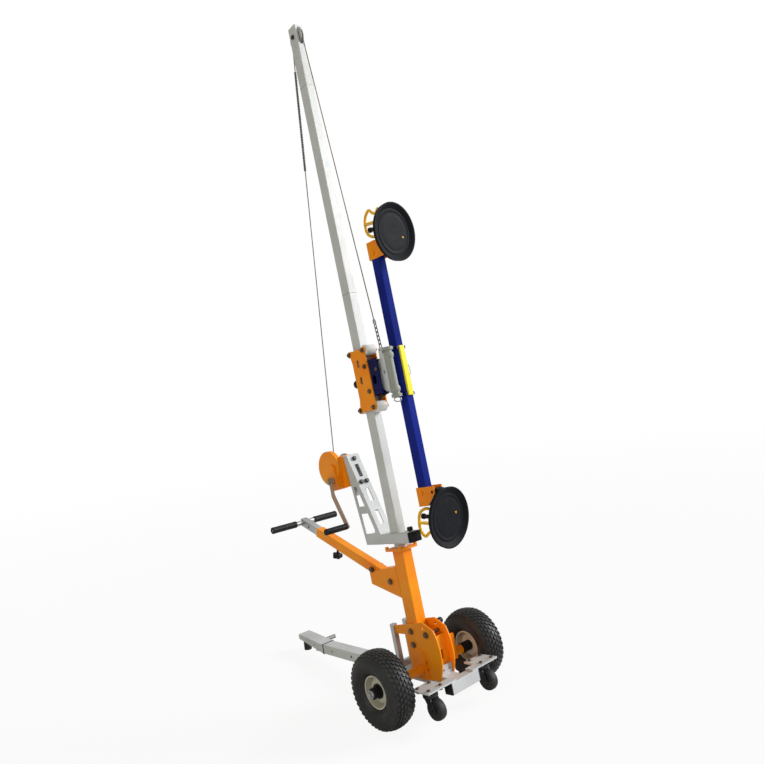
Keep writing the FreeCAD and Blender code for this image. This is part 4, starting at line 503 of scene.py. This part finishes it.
# Geometry Nodes helpers
def shapeTree(name, inputs):
    return groupTree(name, "GeometryNodeTree", {"Geometry": "Geometry", **inputs, "Material": "Material"},
                     {"Geometry": "Geometry"})


def endTree(tree, shape, given, result):
    real = addNode(tree, "GeometryNodeRealizeInstances", {0: shape})
    paint = addNode(tree, "GeometryNodeSetMaterial", {"Geometry": real.outputs[0], "Material": given["Material"]})
    feed(tree, result["Geometry"], paint.outputs[0])
    return tree


def placesMesh(name, places, edges=()):
    mesh = bpy.data.meshes.new(name)
    mesh.from_pydata(places, edges, [])
    return mesh


def bakedMesh(name, source, tree, values):
    carrier = bpy.data.objects.new(name + "Source", source)
    scene.collection.objects.link(carrier)
    modifier = carrier.modifiers.new("shape", "NODES")
    modifier.node_group = tree
    for item in tree.interface.items_tree:
        if item.in_out == "INPUT" and item.name in values:
            modifier[item.identifier] = values[item.name]
    baked = bpy.data.meshes.new_from_object(carrier.evaluated_get(bpy.context.evaluated_depsgraph_get()))
    carrier.modifiers.remove(modifier)
    bpy.data.objects.remove(carrier)
    baked.name = name
    return baked


# Road tyres: a turned carcass with sidewall rings, under staggered rows of tread blocks
# A row is its offset from the middle, its phase in blocks and its camber in degrees
tyreShape = {"bead": (0.030, 0.0605), "bulge": (0.050, 0.097), "shoulder": (0.041, 0.1262), "crown": (0, 0.1364),
             "beadSeat": 0.0583, "rings": (0.074, 0.112), "ringHeight": 0.0012, "sideSteps": 28, "crownSteps": 16,
             "segments": 112, "blocks": 42, "blockCorners": 6, "blockHeight": 0.0036, "blockLength": 0.0098,
             "blockWidth": 0.0066, "taper": 0.82, "blockTwist": 16, "rowSteps": 40,
             "rows": ((0.0, 0.0, 0.0), (0.0125, 0.5, 9.0), (0.0245, 0.0, 18.0), (0.0365, 0.5, 34.0))}


def mirroredPoint(point):
    return (-point[0], point[1])


def makeTreadTree():
    tree, given, result = shapeTree("treadBlocks", {
        "Blocks": "Int", "Height": "Float", "Length": "Float", "Width": "Float", "Taper": "Float", "Place": "Vector"})
    cone = addNode(tree, "GeometryNodeMeshCone", {
        "Vertices": tyreShape["blockCorners"], "Radius Bottom": 1, "Radius Top": given["Taper"], "Depth": 1})
    size = addNode(tree, "ShaderNodeCombineXYZ", {"X": given["Width"], "Y": given["Length"], "Z": given["Height"]})
    block = addNode(tree, "GeometryNodeTransform", {"Geometry": cone.outputs["Mesh"], "Scale": size.outputs[0]})
    join = addNode(tree, "GeometryNodeJoinGeometry", {0: given["Geometry"]})
    index = addNode(tree, "GeometryNodeInputIndex").outputs[0]
    step = mathNode(tree, "DIVIDE", fullTurn, given["Blocks"])
    shoulder = tyreShape["shoulder"]
    crownArc = arcThrough(shoulder, tyreShape["crown"], mirroredPoint(shoulder), tyreShape["rowSteps"])
    for offset, phase, camber in tyreShape["rows"]:
        radius = min(crownArc, key=lambda point: abs(point[0] - offset))[1]
        for side in ((-1, 1) if offset else (1,)):
            angle = mathNode(tree, "MULTIPLY", mathNode(tree, "ADD", index, phase), step)
            spot = addNode(tree, "ShaderNodeCombineXYZ", {
                "X": side * offset, "Y": mathNode(tree, "MULTIPLY", mathNode(tree, "SINE", angle), -radius),
                "Z": mathNode(tree, "MULTIPLY", mathNode(tree, "COSINE", angle), radius)})
            points = addNode(tree, "GeometryNodePoints", {"Count": given["Blocks"], "Position": spot.outputs[0]})
            facing = addNode(tree, "ShaderNodeCombineXYZ", {"X": angle})
            row = addNode(tree, "GeometryNodeInstanceOnPoints", {
                "Points": points.outputs[0], "Instance": block.outputs[0], "Rotation": facing.outputs[0]})
            tilt = addNode(tree, "GeometryNodeRotateInstances", {
                "Instances": row.outputs[0], "Local Space": True,
                "Rotation": (0, math.radians(side * camber), math.radians(side * tyreShape["blockTwist"]))})
            feed(tree, join.inputs[0], tilt.outputs[0])
    placed = addNode(tree, "GeometryNodeTransform", {"Geometry": join.outputs[0], "Translation": given["Place"]})
    return endTree(tree, placed.outputs[0], given, result)


def tyreOutline():
    bead, bulge, shoulder, crown = (tyreShape[key] for key in ("bead", "bulge", "shoulder", "crown"))
    side = arcThrough(bead, bulge, shoulder, tyreShape["sideSteps"])
    for ring in tyreShape["rings"]:
        nearest = min(side, key=lambda point: abs(point[1] - ring))
        nearest[0] += tyreShape["ringHeight"]
    over = arcThrough(shoulder, crown, mirroredPoint(shoulder), tyreShape["crownSteps"])[1:-1]
    far = [mirroredPoint(point) for point in reversed(side)]
    seat = [(-bead[0], tyreShape["beadSeat"]), (bead[0], tyreShape["beadSeat"])]
    return [tuple(point) for point in side + over + far + seat]


treadTree = makeTreadTree()
for side in ("left", "right"):
    carcass = turnedMesh(side + "Carcass", tyreOutline(), Vector(), tyreShape["segments"])
    baked = bakedMesh(side + "RoadTyre", carcass, treadTree, {
        "Blocks": tyreShape["blocks"], "Height": tyreShape["blockHeight"], "Length": tyreShape["blockLength"],
        "Width": tyreShape["blockWidth"], "Taper": tyreShape["taper"], "Material": materials["tyre_rubber"],
        "Place": jointPlace(side + "_wheel_spin")})
    newPiece(side + "RoadTyre", baked, "tyre_rubber", side + "_wheel", [side + "_tyre"])
print("tyres made")


# Separate solids of a CAD node, each as its lowest and highest corner, from left to right
weldDistance = 1e-6


def solidBoxes(nodeName):
    shape = bmesh.new()
    shape.from_mesh(frame["nodes"][nodeName].data)
    bmesh.ops.remove_doubles(shape, verts=shape.verts, dist=weldDistance)
    waiting = set(shape.verts)
    boxes = []
    while waiting:
        edge = [waiting.pop()]
        island = []
        while edge:
            vert = edge.pop()
            island.append(vert.co.copy())
            for link in vert.link_edges:
                other = link.other_vert(vert)
                if other in waiting:
                    waiting.remove(other)
                    edge.append(other)
        boxes.append(tuple(Vector([pick(co[axis] for co in island) for axis in range(3)]) for pick in (min, max)))
    shape.free()
    return sorted(boxes, key=lambda box: (*box[0], *box[1]))


# Hexagon heads with washers over the round heads of the cross bolts
# A layer is the input for its depth, its corners, its width against the radius and its taper
boltHead = {"longest": 0.5, "shortest": 0.055, "corner": 1.06, "height": 0.0066, "proud": 0.0004, "washer": 0.0014,
            "layers": (("Height", 6, 1.0, 0.94), ("Washer", 40, 1.22, 0.97)),
            "baseRadius": 0.0095, "carriageRadius": 0.0075}


def makeBoltTree():
    tree, given, result = shapeTree("boltHeads", {"Radius": "Float", "Height": "Float", "Washer": "Float"})
    aim = addNode(tree, "GeometryNodeInputNamedAttribute", {"Name": "aim"}, data_type="FLOAT_VECTOR")
    facing = addNode(tree, "FunctionNodeAlignRotationToVector", {"Vector": aim.outputs["Attribute"]}, axis="Z")
    join = addNode(tree, "GeometryNodeJoinGeometry")
    for depth, corners, share, taper in boltHead["layers"]:
        wide = mathNode(tree, "MULTIPLY", given["Radius"], share)
        cone = addNode(tree, "GeometryNodeMeshCone", {
            "Vertices": corners, "Radius Bottom": wide, "Radius Top": mathNode(tree, "MULTIPLY", wide, taper),
            "Depth": given[depth]})
        row = addNode(tree, "GeometryNodeInstanceOnPoints", {
            "Points": given["Geometry"], "Instance": cone.outputs["Mesh"], "Rotation": facing.outputs[0]})
        feed(tree, join.inputs[0], row.outputs[0])
    return endTree(tree, join.outputs[0], given, result)


boltTree = makeBoltTree()


def addHeads(name, places, body, headRadius, slot, finish):
    mesh = placesMesh(name + "Places", [place for place, _ in places])
    aim = mesh.attributes.new("aim", "FLOAT_VECTOR", "POINT")
    for index, (_, way) in enumerate(places):
        aim.data[index].vector = way
    baked = bakedMesh(name, mesh, boltTree, {
        "Radius": headRadius * boltHead["corner"], "Height": boltHead["height"], "Washer": boltHead["washer"],
        "Material": materials[finish]})
    newPiece(name, baked, slot, body, finish=finish)


def addBoltHeads(name, nodeName, body, headRadius):
    places = []
    for low, high in solidBoxes(nodeName):
        if boltHead["shortest"] < high.x - low.x < boltHead["longest"]:
            middle = (low + high) / 2
            for side, x in ((-1, low.x), (1, high.x)):
                x -= side * (boltHead["height"] / 2 - boltHead["proud"])
                places.append((Vector((x, middle.y, middle.z)), (side, 0, 0)))
    addHeads(name, places, body, headRadius, "zinc_steel", "bolt_zinc")


addBoltHeads("baseBoltHeads", "frame_bolts", "base", boltHead["baseRadius"])
addBoltHeads("carriageBoltHeads", "carriage_bolts", "carriage", boltHead["carriageRadius"])

# Dark heads on the winch bracket's slope: two in its holes and one near its top
winchBolts = {"holes": (0, 0.27858, 0.83582), "spread": 0.014, "topReach": 0.106, "faceDepth": 0.0025,
              "up": (0, 0.4679, 0.8838), "out": (0, -0.8838, 0.4679), "radius": 0.0078}


def addWinchBolts():
    out, up = Vector(winchBolts["out"]), Vector(winchBolts["up"])
    middle = Vector(winchBolts["holes"]) + out * (winchBolts["faceDepth"] + boltHead["height"] / 2)
    aside = Vector((winchBolts["spread"], 0, 0))
    places = [(middle - aside, out), (middle + aside, out), (middle + up * winchBolts["topReach"], out)]
    addHeads("winchBoltHeads", places, "mast", winchBolts["radius"], "black_steel", "black_steel")


addWinchBolts()

# A brass nut on the crank's shaft, outside its arm
crankNut = {"shaft": 0.02, "radius": 0.0095}
crankAxis = jointPlace("crank_turn")
shaftEnd = min(vert.co.x for vert in frame["nodes"]["crank"].data.vertices
               if math.hypot(vert.co.y - crankAxis.y, vert.co.z - crankAxis.z) < crankNut["shaft"])
nutPlace = Vector((shaftEnd - boltHead["height"] / 2 + boltHead["proud"], crankAxis.y, crankAxis.z))
addHeads("crankNut", [(nutPlace, (-1, 0, 0))], "crank", crankNut["radius"], "zinc_steel", "nut_brass")
print("bolt heads made")


# Hand grips with moulded ribs
gripShape = {"radius": 0.015, "bore": 0.0111, "ribs": 16, "ribSteps": 4, "rib": 0.0011, "ribbed": (0.1, 0.9),
             "roundShare": 0.3, "segments": 40}


def gripOutline(length):
    radius, bore = gripShape["radius"], gripShape["bore"]
    rounding = radius * gripShape["roundShare"]
    steps = gripShape["ribs"] * gripShape["ribSteps"]
    first, last = gripShape["ribbed"]
    outline = [(-length / 2, bore), (-length / 2, radius - rounding)]
    for index in range(1, steps):
        share = index / steps
        edge = min(min(share, 1 - share) * length / rounding, 1)
        shrink = rounding * (1 - math.sqrt(1 - (1 - edge) ** 2))
        wave = 0.5 - 0.5 * math.cos(fullTurn * index / gripShape["ribSteps"])
        rib = gripShape["rib"] * wave if first < share < last else 0
        outline.append((-length / 2 + share * length, radius - shrink - rib))
    return outline + [(length / 2, radius - rounding), (length / 2, bore)]


gripBoxes = solidBoxes("handle_grips")
for index, (low, high) in enumerate(gripBoxes):
    name = "handGrip" + str(index)
    mesh = turnedMesh(name, gripOutline(high.x - low.x), (low + high) / 2, gripShape["segments"])
    newPiece(name, mesh, "black_plastic", "handle", ["handle_grips"])
print("grips made:", len(gripBoxes))


# Ropes: a laid line along the route of the solids, with a coiled sleeve on the rear run
ropeLine = {"radius": 0.0024, "strands": 5, "depth": 0.1, "pitch": 0.030, "step": 0.004, "strandSteps": 4,
            "pulley": 0.037, "drum": 0.0363, "wrapSteps": 24, "chainShare": 0.075,
            "stretches": (0, 0.02, 0.08, 0.2, 0.35, 0.5, 0.65, 0.8, 0.92, 0.98, 1)}
ropeSleeve = {"radius": 0.0062, "strands": 2, "depth": 0.22, "pitch": 0.022, "step": 0.004, "shares": (0.07, 0.30)}
pulleyPlace = jointPlace("pulley_turn")
drumPlace = jointPlace("drum_turn")


def onRing(centre, radius, angle):
    return centre + rearAxis * (radius * math.cos(angle)) + upAxis * (radius * math.sin(angle))


# Angle at the pulley's middle to a place, and how far the rope leaves the pulley from it
def tangentAngles(place, radiusGap):
    away = place - pulleyPlace
    back, up = away.dot(rearAxis), away.dot(upAxis)
    return math.atan2(up, back), math.acos(radiusGap / math.hypot(back, up))


def makeRopeTree():
    tree, given, result = shapeTree("laidRope", {
        "Radius": "Float", "Strands": "Int", "Depth": "Float", "Pitch": "Float", "Step": "Float"})
    curve = addNode(tree, "GeometryNodeMeshToCurve", {"Mesh": given["Geometry"]})
    even = addNode(tree, "GeometryNodeResampleCurve", {"Curve": curve.outputs[0], "Length": given["Step"]},
                   mode="LENGTH")
    along = addNode(tree, "GeometryNodeSplineParameter").outputs["Length"]
    twist = mathNode(tree, "MULTIPLY", mathNode(tree, "DIVIDE", along, given["Pitch"]), fullTurn)
    laid = addNode(tree, "GeometryNodeSetCurveTilt", {"Curve": even.outputs[0], "Tilt": twist})
    circle = addNode(tree, "GeometryNodeCurvePrimitiveCircle", {
        "Resolution": mathNode(tree, "MULTIPLY", given["Strands"], ropeLine["strandSteps"]),
        "Radius": given["Radius"]})
    index = addNode(tree, "GeometryNodeInputIndex").outputs[0]
    wave = mathNode(tree, "COSINE", mathNode(tree, "MULTIPLY", index, fullTurn / ropeLine["strandSteps"]))
    hollow = mathNode(tree, "MULTIPLY", given["Depth"], mathNode(tree, "SUBTRACT", 1, wave))
    place = addNode(tree, "GeometryNodeInputPosition").outputs[0]
    lobed = addNode(tree, "ShaderNodeVectorMath", {0: place, "Scale": mathNode(tree, "SUBTRACT", 1, hollow)},
                    operation="SCALE")
    profile = addNode(tree, "GeometryNodeSetPosition", {"Geometry": circle.outputs[0], "Position": lobed.outputs[0]})
    swept = addNode(tree, "GeometryNodeCurveToMesh", {
        "Curve": laid.outputs[0], "Profile Curve": profile.outputs[0], "Fill Caps": True})
    return endTree(tree, swept.outputs[0], given, result)


ropeTree = makeRopeTree()


def laidMesh(name, places, lay, finish="rope"):
    route = placesMesh(name + "Route", places, [(index, index + 1) for index in range(len(places) - 1)])
    return bakedMesh(name, route, ropeTree, {
        "Radius": lay["radius"], "Strands": lay["strands"], "Depth": lay["depth"], "Pitch": lay["pitch"],
        "Step": lay["step"], "Material": materials[finish]})


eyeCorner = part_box("lift_rope")[0]
eyePlace = Vector((0, eyeCorner.y, eyeCorner.z))
toDrum, drumLead = tangentAngles(drumPlace, ropeLine["pulley"] - ropeLine["drum"])
toEye, eyeLead = tangentAngles(eyePlace, ropeLine["pulley"])
rearAngle = toDrum + drumLead
sweep = (toEye - eyeLead - rearAngle) % fullTurn
drumEnd = onRing(drumPlace, ropeLine["drum"], rearAngle)
overPulley = [onRing(pulleyPlace, ropeLine["pulley"], rearAngle + sweep * step / ropeLine["wrapSteps"])
              for step in range(ropeLine["wrapSteps"] + 1)]
newPiece("hoistLine", laidMesh("hoistLine", [drumEnd] + overPulley, ropeLine), "rope", "mast", ["hoist_rope"])
sleevePlaces = [overPulley[0].lerp(drumEnd, share) for share in ropeSleeve["shares"]]
newPiece("ropeSleeve", laidMesh("ropeSleeve", sleevePlaces, ropeSleeve), "black_steel", "mast", finish="sleeve_grey")
ropeTop = overPulley[-1]
ropeEnd = eyePlace.lerp(ropeTop, ropeLine["chainShare"])


for index, (low, high) in enumerate(zip(ropeLine["stretches"], ropeLine["stretches"][1:])):
    upper, lower = (ropeTop.lerp(ropeEnd, share) for share in (low, high))
    name = "liftLine" + str(index)
    stretch = bpy.data.objects.new(name, laidMesh(name, [upper, lower], ropeLine))
    scene.collection.objects.link(stretch)
    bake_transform(stretch)
    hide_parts("lift_rope")
print("ropes laid, rear run", round((overPulley[0] - drumEnd).length, 3),
      "front run", round((ropeTop - eyePlace).length, 3))


# Chain links between the rope's end and the eye of the tilt bracket, and a pressed ferrule where they meet the rope
chainLink = {"count": 7, "width": 0.0105, "length": 0.0205, "wire": 0.0020, "wireSides": 10, "corner": 0.49,
             "cornerSteps": 8, "firstAt": 0.35}
ferrule = {"radius": 0.0044, "length": 0.026, "segments": 28,
           "profile": ((-1, 0), (-1, 0.8), (-0.9, 1), (-0.3, 1), (-0.2, 0.86), (0.2, 0.86), (0.3, 1), (0.9, 1),
                       (1, 0.8), (1, 0))}


def makeLinkTree():
    tree, given, result = shapeTree("chainLinks", {
        "Width": "Float", "Length": "Float", "Wire": "Float", "Along": "Vector"})
    loop = addNode(tree, "GeometryNodeCurvePrimitiveQuadrilateral", {
        "Width": given["Width"], "Height": given["Length"]})
    rounded = addNode(tree, "GeometryNodeFilletCurve", {
        "Curve": loop.outputs[0], "Count": chainLink["cornerSteps"],
        "Radius": mathNode(tree, "MULTIPLY", given["Width"], chainLink["corner"])}, mode="POLY")
    wire = addNode(tree, "GeometryNodeCurvePrimitiveCircle", {
        "Resolution": chainLink["wireSides"], "Radius": given["Wire"]})
    link = addNode(tree, "GeometryNodeCurveToMesh", {"Curve": rounded.outputs[0], "Profile Curve": wire.outputs[0]})
    facing = addNode(tree, "FunctionNodeAlignRotationToVector", {"Vector": given["Along"]}, axis="Y")
    row = addNode(tree, "GeometryNodeInstanceOnPoints", {
        "Points": given["Geometry"], "Instance": link.outputs[0], "Rotation": facing.outputs[0]})
    index = addNode(tree, "GeometryNodeInputIndex").outputs[0]
    quarter = addNode(tree, "ShaderNodeCombineXYZ", {"Y": mathNode(tree, "MULTIPLY", index, fullTurn / 4)})
    twist = addNode(tree, "GeometryNodeRotateInstances", {
        "Instances": row.outputs[0], "Rotation": quarter.outputs[0], "Local Space": True})
    return endTree(tree, twist.outputs[0], given, result)


def addChain():
    along = (ropeEnd - eyePlace).normalized()
    step = chainLink["length"] - 2 * chainLink["wire"]
    places = [eyePlace + along * (step * (index + chainLink["firstAt"])) for index in range(chainLink["count"])]
    baked = bakedMesh("ropeChain", placesMesh("chainPlaces", places), makeLinkTree(), {
        "Width": chainLink["width"], "Length": chainLink["length"], "Wire": chainLink["wire"], "Along": along,
        "Material": materials["link_steel"]})
    newPiece("ropeChain", baked, "zinc_steel", "carriage", finish="link_steel")
    outline = scaledOutline(ferrule["profile"], 0, ferrule["length"] / 2, ferrule["radius"])
    turnedPiece("ropeFerrule", outline, ropeEnd, along, ferrule["segments"], "zinc_steel", "carriage")


addChain()
print("chain made")


# Suction pads: a moulded disc with a raised rim on each face, and a small valve insert
# The insert's profile is in metres along and shares of its radius
padFace = {"ring": 0.1125, "dish": 0.009, "disc": 0.086, "rise": 0.0007, "back": -0.004, "bore": 0.0004,
           "edge": -0.001292, "rim": 0.0008, "rimFrom": 0.003, "rimTop": 0.0016, "segments": 96}
padInsert = {"radius": 0.0042, "segments": 24, "upper": (0.047, -0.016), "lower": (0.045, 0.010),
             "profile": ((-0.004, 0), (0.0006, 0), (0.0006, 0.4), (0.0018, 0.5), (0.002, 0.8), (0.0012, 1),
                         (-0.004, 1))}
padOutline = [(padFace["back"], padFace["bore"]), (padFace["rise"], padFace["bore"]),
              (padFace["edge"], padFace["disc"] - padFace["rimFrom"]),
              (padFace["edge"] + padFace["rim"], padFace["disc"] - padFace["rimTop"]),
              (padFace["edge"], padFace["disc"]), (padFace["back"], padFace["disc"])]
insertOutline = scaledOutline(padInsert["profile"], 0, 1, padInsert["radius"])
for level in ("upper", "lower"):
    faceWay = jointAxis(level + "_pump")
    sideWay = jointAxis(level + "_cup_nod")
    riseWay = sideWay.cross(-faceWay)
    centre = Vector(mounts[level + "_pad_lip"]["pos_m"]) - sideWay * padFace["ring"] - faceWay * padFace["dish"]
    right, rise = padInsert[level]
    spot = centre + sideWay * right + riseWay * rise
    body = level + "_cup"
    turnedPiece(level + "PadFace", padOutline, centre, faceWay, padFace["segments"], "pad_rubber", body)
    turnedPiece(level + "PadInsert", insertOutline, spot, faceWay, padInsert["segments"], "yellow_paint", body)
print("pad faces made")


# Small wire fittings: a ring under the hinge and a clip beside the yellow plate
plainWire = {"strands": 3, "depth": 0.0, "pitch": 1.0, "step": 0.002}
hingeRing = {"place": (0, -0.132, 1.1565), "across": (1, -1, 0), "wide": 0.0135, "tall": 0.0085, "radius": 0.0022,
             "steps": 32, **plainWire}
plateClip = {"side": 0.0722, "front": 0.0205, "rise": 0.024, "bulge": 0.011, "radius": 0.0019, "steps": 16,
             **plainWire}


def swung(centre, first, second, angle, steps):
    return [centre + first * math.cos(angle * step / steps) + second * math.sin(angle * step / steps)
            for step in range(steps + 1)]


def addWires():
    across = Vector(hingeRing["across"]).normalized() * hingeRing["wide"]
    places = swung(upright(*hingeRing["place"]), across, upAxis * hingeRing["tall"], fullTurn, hingeRing["steps"])
    root = jointPlace("pan") + panSide * plateClip["side"] + panFront * plateClip["front"]
    bow = swung(root, panUp * plateClip["rise"], panSide * plateClip["bulge"], math.pi, plateClip["steps"])
    for name, route, look, body in (("hingeRing", places, hingeRing, "tilt_head"),
                                    ("plateClip", bow, plateClip, "suction_frame")):
        newPiece(name, laidMesh(name, route, look, "zinc_steel"), "zinc_steel", body)


# A tilt lever with a ball end
tiltLever = {"root": (-0.0105, -0.100, 1.192), "end": (-0.030, -0.064, 1.178), "radius": 0.0042, "ball": 0.0075,
             "neck": 0.8, "neckAngle": 0.6, "steps": 10, "segments": 24}


def addLever():
    start, end = upright(*tiltLever["root"]), upright(*tiltLever["end"])
    length, ball = (end - start).length, tiltLever["ball"]
    neck = tiltLever["radius"] * tiltLever["neck"]
    outline = [(0, axisGap), (0, tiltLever["radius"]), (length - ball, neck)]
    for step in range(1, tiltLever["steps"] + 1):
        angle = math.pi * step / tiltLever["steps"]
        least = neck if angle < tiltLever["neckAngle"] else axisGap
        outline.append((length - ball * math.cos(angle), max(ball * math.sin(angle), least)))
    turnedPiece("tiltLever", outline, start, end - start, tiltLever["segments"], "black_plastic", "tilt_head")


# Two black knobs: one on the mast's foot arm and one on the right side plate
blackKnobs = {
    "armKnob": {"place": (0, -0.047, 0.6515), "aim": (0, 0, 1), "height": 0.015, "lift": 0.003, "body": "mast"},
    "plateKnob": {"place": (0.0355, -0.036, 0.291), "aim": (1, 0, 0), "height": 0.024, "lift": 0.014, "body": "base"},
}
knobShape = {"radius": 0.012, "stem": 0.005, "segments": 28,
             "profile": ((0, 0.72), (0.12, 1), (0.45, 0.92), (0.8, 1), (0.96, 0.8), (1, 0.4), (1, 0))}


def addBlackKnob(name, look):
    stem = [(0, axisGap), (0, knobShape["stem"]), (look["lift"], knobShape["stem"])]
    outline = stem + scaledOutline(knobShape["profile"], look["lift"], look["height"], knobShape["radius"])
    turnedPiece(name, outline, upright(*look["place"]), leanTurn @ Vector(look["aim"]), knobShape["segments"],
                "black_plastic", look["body"])


# The star knob hangs on a longer stem than the solid's, and the rear knob has a fluted head
starKnob = {"lobes": 5, "lobeSteps": 12, "radius": 0.023, "dip": 0.3, "height": 0.019, "round": 0.2, "edge": 0.16,
            "stem": 0.005, "stemLength": 0.031, "stemRise": 0.0195, "sink": 0.001, "segments": 24}
rearKnob = {"lobes": 12, "lobeSteps": 12, "radius": 0.0165, "dip": 0.08, "height": 0.016, "round": 0.25, "edge": 0.16,
            "sink": 0.004}


# A lobed knob along X: rings of points whose radius swings with the angle, closed at both ends
def lobedMesh(name, look, place, aim):
    corners = look["lobes"] * look["lobeSteps"]
    shape = bmesh.new()
    rings = []
    for share, scale in ((0, 1 - look["round"]), (look["edge"], 1), (1 - look["edge"], 1), (1, 1 - look["round"])):
        ring = []
        for index in reversed(range(corners)):
            angle = fullTurn * index / corners
            radius = look["radius"] * scale * (1 - look["dip"] * (0.5 - 0.5 * math.cos(look["lobes"] * angle)))
            spot = (look["height"] * share, radius * math.cos(angle), radius * math.sin(angle))
            ring.append(shape.verts.new(spot))
        rings.append(ring)
    skinRings(shape, rings, loop=False)
    shape.faces.new(rings[0])
    shape.faces.new(rings[-1])
    return aimMesh(meshOf(name, shape, sharpEdge["lobed"]), place, aim)


def addStarKnob():
    axis = jointAxis("knob_turn")
    way = -axis if axis.z > 0 else axis  # downwards
    low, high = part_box("clamp_knob")
    top = jointPlace("knob_turn")
    root = top + way * (((low + high) / 2 - top).dot(way) - starKnob["stemRise"])
    length = starKnob["stemLength"]
    stem = [(0, axisGap), (0, starKnob["stem"]), (length, starKnob["stem"]), (length, axisGap)]
    shape = bmesh.new()
    shape.from_mesh(aimMesh(turnedMesh("starStem", stem, Vector(), starKnob["segments"]), root, way))
    shape.from_mesh(lobedMesh("starHead", starKnob, root + way * (length - starKnob["sink"]), way))
    newPiece("starKnob", meshOf("starKnob", shape), "black_plastic", "knob", ["clamp_knob"])


def addRearKnob():
    low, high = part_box("rear_knob")
    middle = (low + high) / 2
    place = middle + rearAxis * ((high.y - middle.y) / rearAxis.y - rearKnob["sink"])
    newPiece("rearKnobHead", lobedMesh("rearKnobHead", rearKnob, place, rearAxis), "black_plastic", "carriage")


# The rear leg ends in a dark rim
legRim = {"hole": (0, 0.47071, 0.06551), "slope": 4.29, "reach": 0.2135, "width": 0.0635, "height": 0.0445,
          "length": 0.006, "wall": 0.003, "bevel": 0.0008, "flat": 0.6}


def addLegRim():
    slope = math.radians(legRim["slope"])
    along = Vector((0, math.cos(slope), -math.sin(slope)))
    over = Vector((0, math.sin(slope), math.cos(slope)))
    centre = Vector(legRim["hole"]) + along * legRim["reach"]
    bevel, wall, flat = legRim["bevel"], legRim["wall"], legRim["flat"]
    shape = bmesh.new()
    rings = []
    for forward, inset in ((-1, bevel), (-flat, 0), (flat, 0), (1, bevel), (1, wall), (-1, wall)):
        middle = centre + along * (forward * legRim["length"] / 2)
        across = Vector((legRim["width"] / 2 - inset, 0, 0))
        rise = over * (legRim["height"] / 2 - inset)
        rings.append([shape.verts.new(middle + across * x + rise * z) for x, z in ((-1, 1), (1, 1), (1, -1), (-1, -1))])
    skinRings(shape, rings, smooth=False)
    newPiece("legRim", meshOf("legRim", shape), "black_steel", "base")


addWires()
addLever()
for knobName, knobLook in blackKnobs.items():
    addBlackKnob(knobName, knobLook)
addStarKnob()
addRearKnob()
addLegRim()
print("fittings made")
